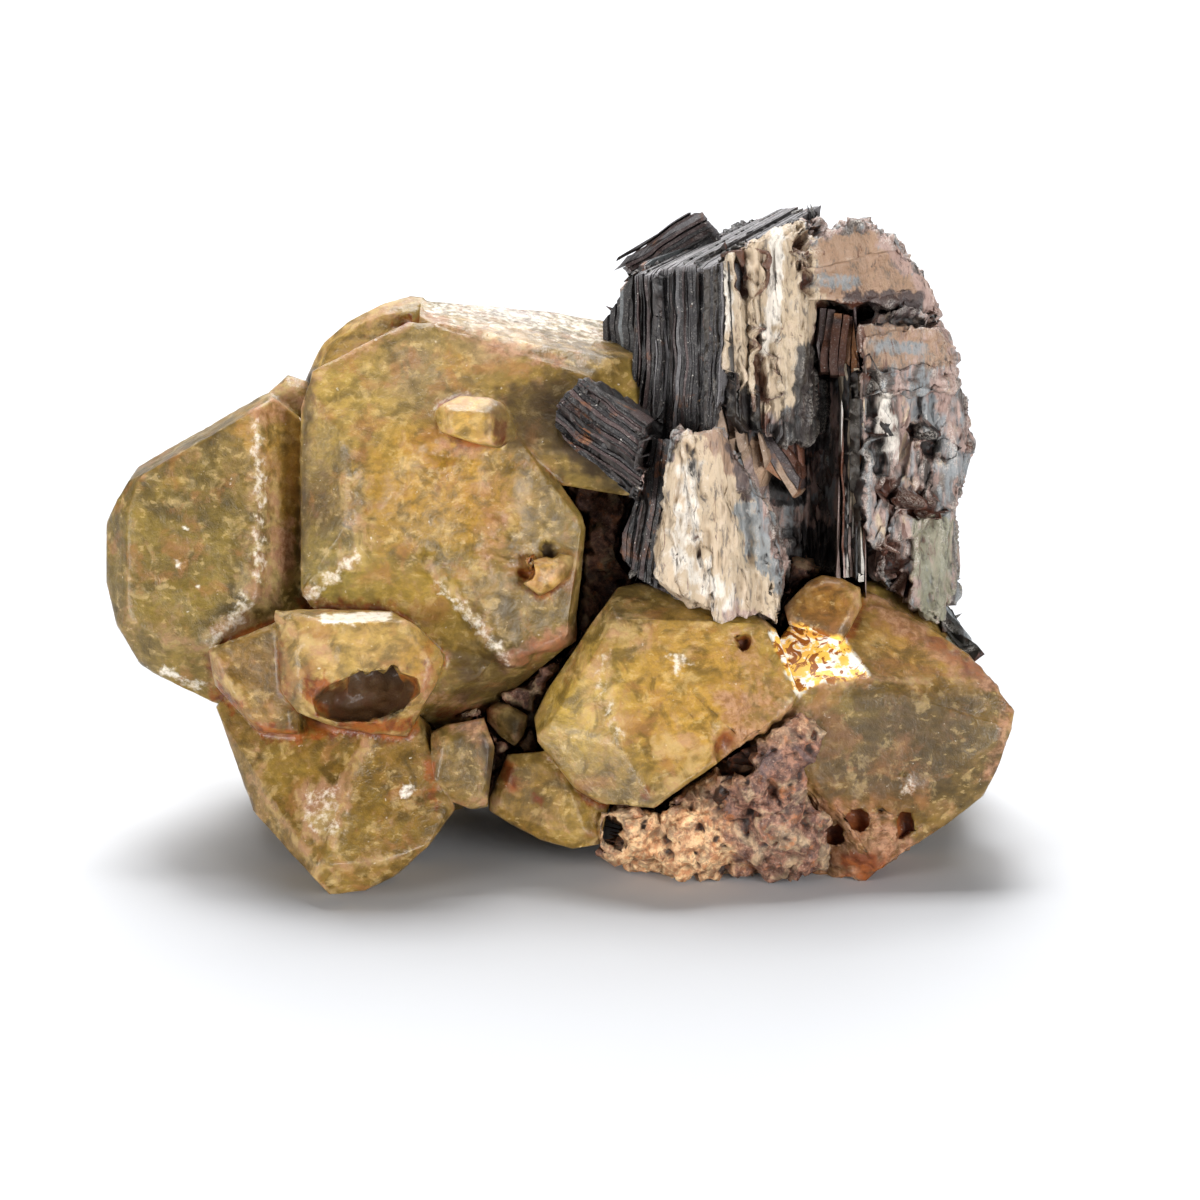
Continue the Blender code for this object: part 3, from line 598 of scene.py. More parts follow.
class Shader:
    """A material whose nodes are added one call at a time. A socket or a value may stand for any input."""

    def __init__(self, name):
        self.material = bpy.data.materials.new(name)
        self.material.use_nodes = True
        self.tree = self.material.node_tree
        self.surface = self.tree.nodes["Principled BSDF"]

    def fill(self, socket, value):
        if isinstance(value, bpy.types.NodeSocket):
            self.tree.links.new(value, socket)
        elif socket.type == "RGBA" and len(value) == 3:
            socket.default_value = (*value, 1.0)
        else:
            socket.default_value = value

    def add(self, kind, settings=None, output=0, **inputs):
        made = self.tree.nodes.new(kind)
        for key, value in (settings or {}).items():
            setattr(made, key, value)
        for key, value in inputs.items():
            place = int(key[1:]) if key[0] == "_" else key.replace("_", " ")
            self.fill(made.inputs[place], value)
        return made.outputs[output]

    def set(self, **inputs):
        for key, value in inputs.items():
            self.fill(self.surface.inputs[key.replace("_", " ")], value)

    def place(self, stretch=(1.0, 1.0, 1.0)):
        """Where a point is, in millimetres, drawn out along the axes."""
        point = self.add("ShaderNodeTexCoord", output=3)
        size = [share / MM for share in stretch]
        return self.add("ShaderNodeVectorMath", {"operation": "MULTIPLY"}, _0=point, _1=size)

    def noise(self, point, scale, detail=4.0, rough=0.55, warp=0.0):
        return self.add("ShaderNodeTexNoise", Vector=point, Scale=scale, Detail=detail, Roughness=rough,
                        Distortion=warp)

    def attribute(self, name, output=2):
        return self.add("ShaderNodeAttribute", {"attribute_name": name}, output=output)

    def sum(self, first, second, operation="ADD"):
        return self.add("ShaderNodeMath", {"operation": operation}, _0=first, _1=second)

    def ramp(self, value, low, high, to_low=0.0, to_high=1.0):
        made = self.tree.nodes.new("ShaderNodeMapRange")
        made.interpolation_type = "SMOOTHSTEP"
        for key, given in zip(("Value", "From Min", "From Max", "To Min", "To Max"),
                              (value, low, high, to_low, to_high)):
            self.fill(made.inputs[key], given)
        return made.outputs[0]

    def mix(self, share, first, second, blend="MIX"):
        made = self.tree.nodes.new("ShaderNodeMix")
        made.data_type = "RGBA"
        made.blend_type = blend
        self.fill(made.inputs[0], share)
        self.fill(made.inputs[6], first)
        self.fill(made.inputs[7], second)
        return made.outputs[2]

    def bump(self, height, distance, strength=1.0, under=None):
        made = self.tree.nodes.new("ShaderNodeBump")
        self.fill(made.inputs["Height"], height)
        made.inputs["Distance"].default_value = distance * MM
        made.inputs["Strength"].default_value = strength
        if under is not None:
            self.tree.links.new(under, made.inputs["Normal"])
        return made.outputs[0]


def garnet_material():
    """Mottled olive and honey garnet: chalky worn edges, pink crust, rust and painted shade in the creases,
    painted shade in hollows and on shaded facets, painted highlights on some white rims and a painted
    reflection on the gleaming facet.
    """
    s = Shader("garnet")
    point = s.place()
    broad = s.noise(point, 0.22, 3.0, 0.55, 0.6)
    cloud = s.noise(point, 0.7, 5.0, 0.62, 0.8)
    fine = s.noise(point, 2.6, 6.0, 0.65)
    grain = s.noise(point, 9.0, 4.0, 0.6)
    tint = s.attribute("tint", 0)
    channel = {name: s.attribute(name) for name in [*MARKS, "edge", "crease_rust_and_shade"]}

    deep = s.mix(0.60, tint, DEEP_OLIVE)
    light = s.mix(0.45, tint, LEMON)
    colour = s.mix(s.ramp(cloud, 0.36, 0.58), deep, tint)
    colour = s.mix(s.ramp(broad, 0.46, 0.66, 0.0, 0.60), colour, light)
    patch = s.sum(channel["honey"], s.ramp(cloud, 0.3, 0.7, -0.30, 0.30))
    colour = s.mix(s.ramp(patch, 0.05, 1.0, 0.0, 0.75), colour, HONEY)
    veil = s.noise(point, 0.9, 5.0, 0.62, 0.4)
    colour = s.mix(s.ramp(veil, 0.54, 0.66, 0.0, 0.36), colour, PALE_CRUST)
    colour = s.mix(s.ramp(fine, 0.52, 0.64, 0.0, 0.30), colour, deep)
    fleck = s.noise(s.place((1.0, 1.0, 1.7)), 1.5, 4.0, 0.55, 0.2)
    colour = s.mix(1.0, colour, s.ramp(fleck, 0.40, 0.58, 0.86, 1.10), "MULTIPLY")
    colour = s.mix(s.ramp(fleck, 0.61, 0.67, 0.0, 0.36), colour, PALE_CRUST)
    tan = s.noise(point, 0.5, 5.0, 0.65, 0.5)
    colour = s.mix(s.ramp(tan, 0.52, 0.66, 0.0, 0.45), colour, ORANGE_TAN)

    uneven = s.ramp(cloud, 0.30, 0.70, -0.28, 0.28)
    worn = s.sum(s.sum(channel["edge"], 0.85, "MULTIPLY"), channel["pale"], "MAXIMUM")
    worn = s.ramp(s.sum(s.sum(worn, uneven), s.ramp(fine, 0.3, 0.7, -0.14, 0.14)), 0.05, 1.10, 0.0, 0.75)
    bare = s.mix(s.ramp(veil, 0.44, 0.56), PALE_CRUST, PINK_CRUST)
    colour = s.mix(worn, colour, s.mix(0.25, bare, tint))
    crust = s.sum(s.sum(channel["pink"], uneven), s.ramp(fine, 0.3, 0.7, -0.16, 0.16))
    crust = s.ramp(crust, 0.05, 1.10, 0.0, 0.72)
    colour = s.mix(crust, colour, s.mix(s.ramp(fine, 0.4, 0.62), PINK_DEEP, PINK_CRUST))
    # Rust stains, and painted shade in the creases, both in rust and burnt orange.
    stain = s.sum(channel["rust"], s.sum(channel["crease_rust_and_shade"], 0.85, "MULTIPLY"), "MAXIMUM")
    stain = s.ramp(s.sum(stain, s.ramp(fine, 0.3, 0.7, -0.25, 0.25)), 0.15, 0.95, 0.0, 0.92)
    colour = s.mix(stain, colour, s.mix(s.ramp(cloud, 0.42, 0.60), RUST, BURNT_ORANGE))
    # Painted shade: hollows, gaps and facets that face away from the light darken towards shadow brown.
    painted_shade = s.ramp(s.sum(channel["dark"], s.ramp(cloud, 0.3, 0.7, -0.2, 0.2)), 0.05, 1.0, 0.0, 0.9)
    colour = s.mix(painted_shade, colour, s.mix(0.12, SHADOW_BROWN, tint))
    # White specks and chalky rims, with painted highlights where the marks lie on the crown's top and the
    # white ridge line.
    dust_and_highlight = s.ramp(s.sum(channel["chalk_and_highlight"], s.ramp(fine, 0.3, 0.7, -0.35, 0.25)), 0.25, 1.0)
    speck = s.ramp(s.noise(point, 3.0, 3.0, 0.5), 0.70, 0.80, 0.0, 0.55)
    colour = s.mix(s.sum(dust_and_highlight, speck, "MAXIMUM"), colour, WHITE_SPECK_AND_HIGHLIGHT)
    # Painted reflection: the gleaming facet's colour is a white and orange glint with darker spots.
    gleam = s.ramp(s.noise(point, 1.0, 4.0, 0.6, 1.4), 0.43, 0.49)
    spark = s.mix(s.ramp(s.noise(point, 1.3, 3.0, 0.6), 0.46, 0.56), PAINTED_GLINT_ORANGE, PAINTED_GLINT_WHITE)
    painted_glint = s.mix(gleam, PAINTED_GLINT_SHADE, spark)
    colour = s.add("ShaderNodeGamma", Color=colour, Gamma=GARNET_DEPTH)
    colour = s.mix(channel["painted_glint"], colour, painted_glint)

    matte = s.sum(s.sum(worn, crust, "MAXIMUM"), channel["rough"], "MAXIMUM")
    matte = s.sum(matte, channel["dark"], "MAXIMUM")
    relief = s.bump(grain, 0.04, 0.5)
    relief = s.bump(s.noise(point, 1.1, 6.0, 0.65, 0.5), 0.16, 0.6, relief)
    gloss = s.ramp(s.sum(matte, s.ramp(fine, 0.3, 0.7, -0.2, 0.2)), 0.0, 1.0, 0.30, 0.68)
    s.set(Base_Color=colour, Roughness=gloss, Normal=relief, IOR=1.55,
          Subsurface_Weight=0.15, Subsurface_Radius=(1.6, 1.0, 0.35), Subsurface_Scale=MM,
          Coat_Weight=0.08, Coat_Roughness=0.14, Specular_IOR_Level=0.26)
    return s.material


def mica_material():
    """Sheets in their own colours, with rust streaks, pearly sheen and fine striae along their edges."""
    s = Shader("mica")
    point = s.place()
    own = s.attribute("sheet_colour", 0)
    cloud = s.noise(point, 0.55, 5.0, 0.6, 0.8)
    fine = s.noise(point, 3.0, 5.0, 0.65)
    grain = s.noise(point, 11.0, 3.0, 0.6)
    colour = s.mix(s.ramp(fine, 0.3, 0.7, 0.0, 0.55), own, s.mix(0.6, own, CHARCOAL))
    colour = s.mix(s.ramp(grain, 0.52, 0.72, 0.0, 0.4), colour, s.mix(0.5, own, CHALK))
    stain = s.ramp(cloud, 0.58, 0.70, 0.0, 0.65)
    colour = s.mix(stain, colour, s.mix(s.ramp(fine, 0.35, 0.65), DARK_RUST, ORANGE_RUST))
    speck = s.ramp(s.noise(point, 4.2, 2.0, 0.5), 0.70, 0.75, 0.0, 0.8)
    colour = s.mix(speck, colour, CHALK)
    relief = s.bump(grain, 0.04, 0.6)
    relief = s.bump(fine, 0.10, 0.6, relief)
    s.set(Base_Color=colour, Roughness=s.ramp(fine, 0.3, 0.7, 0.40, 0.70), IOR=1.50, Normal=relief)
    return s.material


def broken_material():
    """Broken mica: upright streaks of cream, grey and pink, with rust, and black painted shade, in its
    hollows.
    """
    s = Shader("mica_broken")
    point = s.place((1.0, 1.0, 0.16))
    streak = s.noise(point, 0.8, 5.0, 0.62, 0.7)
    second = s.noise(point, 1.3, 4.0, 0.6, 0.4)
    fine = s.noise(s.place((1.0, 1.0, 0.22)), 3.2, 5.0, 0.65)
    grain = s.noise(s.place(), 10.0, 3.0, 0.6)
    channel = {name: s.attribute(name) for name in [*MICA_MARKS, "hollow", "ridge"]}
    colour = s.mix(s.ramp(streak, 0.40, 0.56), (0.08, 0.062, 0.052), PINK_GREY)
    colour = s.mix(s.ramp(second, 0.50, 0.62, 0.0, 0.85), colour, BLUE_GREY)
    colour = s.mix(s.ramp(streak, 0.58, 0.68, 0.0, 0.9), colour, CREAM)
    colour = s.mix(s.ramp(second, 0.34, 0.42, 0.75, 0.0), colour, DARK_RUST)
    for name, own in (("tan", TAN), ("cream", CREAM), ("blue", BLUE_GREY), ("pinkish", PINK_GREY),
                      ("sage", SAGE), ("white", CHALK), ("brown", PURPLE_BROWN), ("rusty", DARK_RUST),
                      ("black", BLACK)):
        share = s.sum(channel[name], s.ramp(fine, 0.3, 0.7, -0.35, 0.35))
        colour = s.mix(s.ramp(share, 0.2, 0.8, 0.0, 0.9), colour, own)
    colour = s.mix(s.ramp(fine, 0.52, 0.66, 0.0, 0.6), colour, s.mix(0.55, colour, BLACK))
    seam = s.ramp(s.noise(point, 1.7, 5.0, 0.7, 1.2), 0.60, 0.68, 0.0, 0.75)
    colour = s.mix(seam, colour, s.mix(s.ramp(streak, 0.45, 0.55), DARK_RUST, PURPLE_BROWN))
    # Painted shade in the hollows, black to dark rust.
    colour = s.mix(s.ramp(channel["hollow"], 0.15, 0.9, 0.0, 0.92), colour,
                   s.mix(s.ramp(fine, 0.40, 0.62), BLACK, DARK_RUST))
    colour = s.mix(s.sum(channel["ridge"], s.ramp(grain, 0.40, 0.65, 0.0, 0.6), "MULTIPLY"), colour, CHALK)
    colour = s.add("ShaderNodeGamma", Color=colour, Gamma=MICA_DEPTH)
    relief = s.bump(grain, 0.05, 0.6)
    relief = s.bump(fine, 0.16, 0.8, relief)
    s.set(Base_Color=colour, Roughness=s.ramp(fine, 0.3, 0.7, 0.32, 0.65), IOR=1.56, Normal=relief)
    return s.material


def matrix_material():
    """Pinkish porous rock with cream grains and dark red pits, the pits painted with shade and rust."""
    s = Shader("matrix")
    point = s.place()
    broad = s.noise(point, 0.5, 4.0, 0.6, 0.6)
    fine = s.noise(point, 2.4, 6.0, 0.65)
    grain = s.noise(point, 8.0, 4.0, 0.6)
    pit = s.attribute("pit")
    colour = s.mix(s.ramp(fine, 0.38, 0.62), MATRIX_DARK, MATRIX_PINK)
    colour = s.mix(s.ramp(broad, 0.50, 0.62, 0.0, 0.75), colour, MATRIX_CREAM)
    colour = s.mix(s.ramp(broad, 0.34, 0.44, 0.75, 0.0), colour, MATRIX_MAUVE)
    colour = s.mix(s.ramp(s.noise(point, 0.9, 4.0, 0.6), 0.56, 0.66, 0.0, 0.7), colour, MATRIX_ORANGE)
    colour = s.mix(s.ramp(grain, 0.58, 0.70, 0.0, 0.6), colour, MATRIX_GRAIN)
    peach = s.mix(s.ramp(fine, 0.4, 0.6), PEACH_DARK, PEACH)
    colour = s.mix(s.attribute("pale"), colour, peach)
    shade = s.ramp(s.noise(point, 1.5, 6.0, 0.7, 0.8), 0.40, 0.58, 0.52, 1.12)
    colour = s.mix(1.0, colour, shade, "MULTIPLY")
    # Painted shade and rust in the pits and hollows.
    inside = s.mix(s.ramp(fine, 0.45, 0.7), SHADOW_BROWN, RUST)
    colour = s.mix(s.ramp(pit, 0.20, 0.70, 0.0, 0.95), colour, inside)
    relief = s.bump(grain, 0.08, 0.7)
    relief = s.bump(fine, 0.2, 0.7, relief)
    s.set(Base_Color=colour, Roughness=s.ramp(fine, 0.3, 0.7, 0.35, 0.70), Normal=relief,
          Subsurface_Weight=0.1, Subsurface_Radius=(1.0, 0.5, 0.3), Subsurface_Scale=MM)
    return s.material


def floor_material():
    s = Shader("floor")
    s.set(Base_Color=FLOOR_WHITE, Roughness=0.8, Specular_IOR_Level=0.2)
    return s.material


# Meshes.


def as_object(name, drawn, faces, material):
    """An object from drawn points, standing in the frame and kept inside the solids' box."""
    points = np.clip(standing(drawn), cad_box[0], cad_box[1])
    mesh = bpy.data.meshes.new(name)
    mesh.from_pydata(points.tolist(), [], faces)
    mesh.validate()
    mesh.materials.append(material)
    thing = bpy.data.objects.new(name, mesh)
    bpy.context.scene.collection.objects.link(thing)
    return thing


def store(thing, name, values):
    """Keeps a value, or a colour, for each point of a mesh."""
    values = np.asarray(values, dtype=np.float32)
    if values.ndim == 1:
        kept = thing.data.attributes.new(name, "FLOAT", "POINT")
        kept.data.foreach_set("value", values)
    else:
        kept = thing.data.attributes.new(name, "FLOAT_COLOR", "POINT")
        with_alpha = np.concatenate([values, np.ones((len(values), 1), np.float32)], axis=1)
        kept.data.foreach_set("color", with_alpha.ravel())


def refined(mesh, longest):
    """Points and triangles of a mesh, its long edges split, its flat facets evenly divided."""
    shape = bmesh.new()
    shape.from_mesh(mesh)
    for vertex in shape.verts:
        vertex.co = Vector(drawn_from([vertex.co])[0])
    bmesh.ops.remove_doubles(shape, verts=shape.verts[:], dist=0.002)
    bmesh.ops.triangulate(shape, faces=shape.faces[:])
    for _ in range(MOST_SPLITS):
        long_edges = [edge for edge in shape.edges if edge.calc_length() > longest]
        if not long_edges:
            break
        bmesh.ops.subdivide_edges(shape, edges=long_edges, cuts=1)
        many = [face for face in shape.faces if len(face.verts) > 3]
        bmesh.ops.triangulate(shape, faces=many)
    bmesh.ops.recalc_face_normals(shape, faces=shape.faces[:])
    shape.verts.index_update()
    points = np.array([vertex.co for vertex in shape.verts])
    faces = [[vertex.index for vertex in face.verts] for face in shape.faces]
    shape.free()
    return points, faces


def pairs_of(faces):
    """The edges of triangles, each once, as two columns of point numbers."""
    faces = np.array(faces)
    ends = np.concatenate([faces[:, [0, 1]], faces[:, [1, 2]], faces[:, [2, 0]]])
    return np.unique(np.sort(ends, axis=1), axis=0)


def smoothed(values, pairs, turns, share=0.5):
    """Values or places drawn towards the mean of their neighbours."""
    counts = np.bincount(pairs.ravel(), minlength=len(values)).astype(float)
    shape = (-1,) + (1,) * (values.ndim - 1)
    for _ in range(turns):
        total = np.zeros_like(values)
        np.add.at(total, pairs[:, 0], values[pairs[:, 1]])
        np.add.at(total, pairs[:, 1], values[pairs[:, 0]])
        values = values + share * (total / counts.reshape(shape) - values)
    return values


def normals_of(points, faces):
    faces = np.array(faces)
    a, b, c = (points[faces[:, place]] for place in range(3))
    flat = np.cross(b - a, c - a)
    total = np.zeros_like(points)
    for place in range(3):
        np.add.at(total, faces[:, place], flat)
    return total / np.maximum(np.linalg.norm(total, axis=1, keepdims=True), 1e-9)


def noise_at(points, scale, octaves=3):
    """Smooth noise at each point, about -1 to 1."""
    return np.array([noise.fractal(Vector(point) * scale, 0.6, 2.1, octaves) for point in points])


def fade(values, start, end):
    """0 at start, 1 at end, smooth between them."""
    share = np.clip((values - start) / (end - start), 0.0, 1.0)
    return share * share * (3 - 2 * share)


def far_from_line(places, line):
    """How far each place lies from a line of pixels, or from a single one."""
    if len(line) == 1:
        return np.linalg.norm(places - np.array(line[0]), axis=1)
    best = np.full(len(places), np.inf)
    for start, end in zip(line, line[1:]):
        start = np.array(start, float)
        along = np.array(end, float) - start
        share = np.clip((places - start) @ along / (along @ along), 0.0, 1.0)
        best = np.minimum(best, np.linalg.norm(places - start - share[:, None] * along, axis=1))
    return best


def inside_of(places, outline):
    inside = np.zeros(len(places), bool)
    for (x0, y0), (x1, y1) in zip(outline, outline[1:] + outline[:1]):
        between = (places[:, 1] < y0) != (places[:, 1] < y1)
        height = (places[:, 1] - y0) / (y1 - y0) if y1 != y0 else np.zeros(len(places))
        inside ^= between & (places[:, 0] < x0 + height * (x1 - x0))
    return inside


def photo_places(points):
    """The pixels of the photo where drawn points are seen."""
    return np.stack([points[:, 0] * SCALE + COLUMN, ROW - points[:, 1] * SCALE], axis=1)


def wandered(places, amount):
    """Places moved a little along waves, so that outlines drawn from them are uneven."""
    across, down = places.T
    right = np.sin(down * 0.31) + np.sin(across * 0.53 + 1.0)
    lower = np.sin(across * 0.37) + np.sin(down * 0.47 + 2.0)
    return places + amount * np.stack([right, lower], axis=1)


def weight_of(mark, places):
    """How strongly a mark shows at each place of the photo."""
    places = wandered(places, WANDER * mark.reach)
    line = mark.places + mark.places[:1] if mark.filled else mark.places
    away = far_from_line(places, line)
    if mark.filled:
        away[inside_of(places, mark.places)] = 0.0
    return mark.strength * (1.0 - fade(away, mark.reach * 0.35, mark.reach * 1.15))


def strongest(marks, places):
    """How strongly the strongest of some marks shows at each place of the photo."""
    return np.max([weight_of(mark, places) for mark in marks], axis=0)


def seen_share(points, faces):
    """1 where the eye sees the surface, fading to 0 where something hides it."""
    tree = BVHTree.FromPolygons(points.tolist(), faces)
    down = Vector((0.0, 0.0, -1.0))
    share = np.zeros(len(points))
    for number, (u, v, w) in enumerate(points):
        hit = tree.ray_cast(Vector((u, v, FAR)), down)[0]
        share[number] = 1.0 if hit is None else hit.z - w
    return 1.0 - fade(share, 0.4, 1.6)


def garnet_piece(material):
    """The garnets: worn edges, uneven facets, rough crust and painted channels."""
    points, faces = refined(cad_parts["garnet_cluster"].data, GARNET_STEP)
    pairs = pairs_of(faces)
    sharp = points.copy()
    points = smoothed(points, pairs, WEAR_TURNS, WEAR)
    normals = normals_of(points, faces)
    broad = smoothed(sharp, pairs, 8)
    bend = np.einsum("ij,ij->i", sharp - broad, normals)
    edge = fade(smoothed(np.maximum(bend, 0.0), pairs, 1), 0.05, 0.24)
    # Creases get rust and painted shade in the shader.
    crease_rust_and_shade = fade(smoothed(np.maximum(-bend, 0.0), pairs, 3), 0.02, 0.14)

    places = photo_places(points)
    visible = seen_share(points, faces)
    channel = {name: strongest(own, places) * visible for name, own in MARKS.items()}

    tint = np.tile(PLAIN, (len(points), 1)) * PLAIN_SHARE
    total = np.full(len(points), PLAIN_SHARE)
    for near in TINTS:
        u, v = seen(*near.middle)
        away = np.linalg.norm(points - np.array([u, v, near.depth]), axis=1) / near.reach
        share = np.exp(-away * away * 2.0)
        tint += share[:, None] * np.array(near.colour) * WARMTH
        total += share
    tint = tint / total[:, None]

    rough = smoothed(channel["rough"], pairs, 2)
    step = np.zeros(len(points))
    for mark in RIDGES:
        step += weight_of(mark, places) * visible
    lift = noise_at(points, 0.35, 2) * 0.05 + noise_at(points, 1.6, 3) * 0.03
    lift -= edge * np.maximum(noise_at(points, 0.9, 3), 0.0) * 0.25
    lift += rough * (noise_at(points, 1.4, 4) * 0.35 - 0.05)
    lift += step * (1.0 + 0.5 * noise_at(points, 1.2, 2))
    thing = as_object("garnets", points + normals * lift[:, None], faces, material)
    for name, values in channel.items():
        store(thing, name, values)
    store(thing, "edge", edge)
    store(thing, "crease_rust_and_shade", crease_rust_and_shade)
    store(thing, "tint", tint)
    thing.data.shade_smooth()
    return thing


def chord(outline, across):
    """The lowest and highest heights of an outline at one distance across it, or None outside it."""
    heights = []
    for (x0, y0), (x1, y1) in zip(outline, outline[1:] + outline[:1]):
        if (x0 - across) * (x1 - across) < 0:
            heights.append(y0 + (y1 - y0) * (across - x0) / (x1 - x0))
    return (min(heights), max(heights)) if len(heights) > 1 else None


class Sheets:
    """Gathers sheets as closed slabs, with a colour for each point."""

    def __init__(self):
        self.points = []
        self.faces = []
        self.colours = []

    def slab(self, rows, colours):
        """A slab from rings of points, from its bottom end to its top, each ring in its own colour."""
        start = len(self.points)
        ring = len(rows[0])
        for row, colour in zip(rows, colours):
            self.points.extend(row)
            self.colours.extend([colour] * ring)
        for number in range(len(rows) - 1):
            low = start + number * ring
            for side in range(ring):
                other = (side + 1) % ring
                self.faces.append((low + side, low + other, low + ring + other, low + ring + side))
        self.faces.append(tuple(range(start + ring - 1, start - 1, -1)))
        last = start + (len(rows) - 1) * ring
        self.faces.append(tuple(range(last, last + ring)))


def add_book(sheets, book, chance):
    """Adds the sheets of one book, in the groups that the solids split it into."""
    centre = Vector((sum(u for u, v in book.outline), sum(v for u, v in book.outline))) / len(book.outline)
    normal = direction(*book.facing)
    middle = Vector((centre.x, centre.y, book.depth))
    run = Vector(book.run).normalized()
    edge = Vector((math.cos(math.radians(book.striae)), math.sin(math.radians(book.striae)), 0.0))
    across = edge.cross(run).normalized()
    if across.x + across.y < 0:
        across = -across
    up = normal.cross(across).normalized()
    if up.dot(edge) < 0:
        up = -up
    side = up.cross(normal)
    if side.dot(across) < 0:
        side = -side
    corners = [on_plane(normal, middle, place) - middle for place in book.outline]
    outline = [(corner.dot(side), corner.dot(up)) for corner in corners]
    low = min(x for x, y in outline)
    high = max(x for x, y in outline)
    slides = random.Random(SEED + len(book.outline) + book.plates)
    groups = []
    for number in range(book.plates):
        slides.uniform(-0.25, 0.25)
        back = slides.uniform(-PLATE_STEP, PLATE_STEP)
        groups.append((back, slides.uniform(-PLATE_SLIDE, PLATE_SLIDE)))
    colours = [colour for colour, share in PALETTES[book.palette]]
    shares = [share for colour, share in PALETTES[book.palette]]
    near = low
    while near < high - 0.05:
        far = min(near + book.sheet * chance.uniform(0.55, 1.5), high)
        span = chord(outline, (near + far) / 2)
        slant = chord(outline, near + (far - near) * 0.9) or span
        group = groups[min(int((near - low) / (high - low) * book.plates), book.plates - 1)]
        if span is None or span[1] - span[0] < NARROW:
            near = far
            continue
        colour = np.array(chance.choices(colours, shares)[0]) * chance.uniform(0.7, 1.15)
        bottom = span[0] + group[1] + chance.uniform(0.0, 0.9) * book.ragged + 0.05
        top = span[1] + group[1] - chance.uniform(0.0, 0.9) * book.ragged - 0.05
        lean = chance.gauss(0.0, 0.35) * book.ragged / (top - bottom + 3.0)
        count = max(int((top - bottom) / SHEET_STEP), 2)
        stand = group[0] + chance.uniform(-book.step, book.step)
        shift = chance.uniform(0.0, 100.0)
        rows = []
        row_colours = []
        level = 0.0
        for number in range(count + 1):
            height = bottom + (top - bottom) * number / count
            if chance.random() < BREAK_CHANCE:
                level = chance.uniform(-1.0, 1.0) * book.ragged * 1.6
                if book.ragged > RAGGED_ENOUGH:
                    colour = np.array(chance.choices(colours, shares)[0]) * chance.uniform(0.7, 1.15)
            wave = noise.fractal(Vector((shift, height * 1.3, 0.0)), 0.6, 2.1, 3) * book.ragged
            back = max(stand + level + wave + 0.15, 0.0)
            sway = noise.noise(Vector((height * 0.25, shift * 0.1, 3.0))) * 0.06 + lean * height
            share = number / count
            drop = (slant[0] - span[0]) * (1 - share) + (slant[1] - span[1]) * share
            row = []
            for width, depth in ((near, back), (far - SHEET_GAP, back + 0.02), (far - SHEET_GAP, back + 0.9),
                                 (far - SHEET_GAP, book.length), (near, book.length), (near, back + 0.9)):
                tilt = drop * ((width - near) / (far - near) * 2 - 1)
                row.append(tuple(middle + side * (width + sway) + up * (height + tilt) + run * depth))
            rows.append(row)
            row_colours.append(colour)
        if book.palette == "dark":
            row_colours[-1] = np.array(SILVER) * chance.uniform(0.7, 1.5)
        sheets.slab(rows, row_colours)
        near = far


def bent(point):
    """A point of the mica, moved a little with its surroundings, so that no sheet is quite flat."""
    return point + noise.noise_vector(point * 0.22) * 0.35 + noise.noise_vector(point * 0.8) * 0.14


def mica_piece(material):
    chance = random.Random(SEED)
    sheets = Sheets()
    for book in BOOKS.values():
        add_book(sheets, book, chance)
    points = np.array([bent(Vector(point)) for point in sheets.points])
    thing = as_object("mica_sheets", points, sheets.faces, material)
    store(thing, "sheet_colour", np.array(sheets.colours))
    return thing


def within_book(points, book):
    """Which points lie in the block that a book's front outline sweeps along its run."""
    centre = np.mean(np.array(book.outline), axis=0)
    normal = np.array(direction(*book.facing))
    middle = np.array([centre[0], centre[1], book.depth])
    run = np.array(Vector(book.run).normalized())
    depth = (points - middle) @ normal / (run @ normal)
    front = points - depth[:, None] * run
    wide = [tuple(centre + (np.array(place) - centre) * 1.06) for place in book.outline]
    return inside_of(front[:, :2], wide) & (depth > -1.0) & (depth < book.length + 0.5)


def broken_mica(material):
    """The rough mica: its solid, broken into upright splinters. It fills in behind the sheets."""
    points, faces = refined(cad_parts["mica_books"].data, MICA_STEP)
    pairs = pairs_of(faces)
    points = smoothed(points, pairs, 1)
    normals = normals_of(points, faces)
    covered = np.zeros(len(points), bool)
    for book in BOOKS.values():
        covered |= within_book(points, book)
    grain = np.array([1.0, 0.10, 1.0])
    coarse = noise_at(points * grain, 0.85, 3)
    splinter = noise_at(points * grain, 2.6, 3)
    crack = np.abs(noise_at(points * np.array([1.0, 0.4, 1.0]) + 30.0, 0.8, 3))
    crack = 1.0 - fade(crack, 0.0, 0.16)
    lift = np.round(coarse * 3.5) / 3.5 * 0.60 + splinter * 0.14 - crack * 0.40
    lift = smoothed(lift, pairs, 1, 0.35)
    places = photo_places(points)
    visible = seen_share(points, faces)
    channel = {name: strongest(own, places) * visible for name, own in MICA_MARKS.items()}
    lift *= 1.0 - 0.75 * np.maximum(channel["tan"], 0.4 * channel["cream"])
    for name, hollows in MICA_HOLLOWS.items():
        for mark in hollows:
            depth = weight_of(mark, places) * visible
            lift += depth
            channel[name] = np.maximum(channel[name], -depth)
    # The mica behind the sheets is pushed back and painted black: painted shade between the sheets.
    channel["black"] = np.maximum(channel["black"], covered)
    lift = np.where(covered, -0.45, lift)
    moved = points + normals * lift[:, None]
    bend = np.einsum("ij,ij->i", moved - smoothed(moved, pairs, 5), normals_of(moved, faces))
    thing = as_object("mica_broken", moved, faces, material)
    for name, values in channel.items():
        store(thing, name, values)
    store(thing, "hollow", fade(-bend, 0.05, 0.32))
    store(thing, "ridge", fade(bend, 0.02, 0.20))
    thing.data.shade_smooth()
    return thing


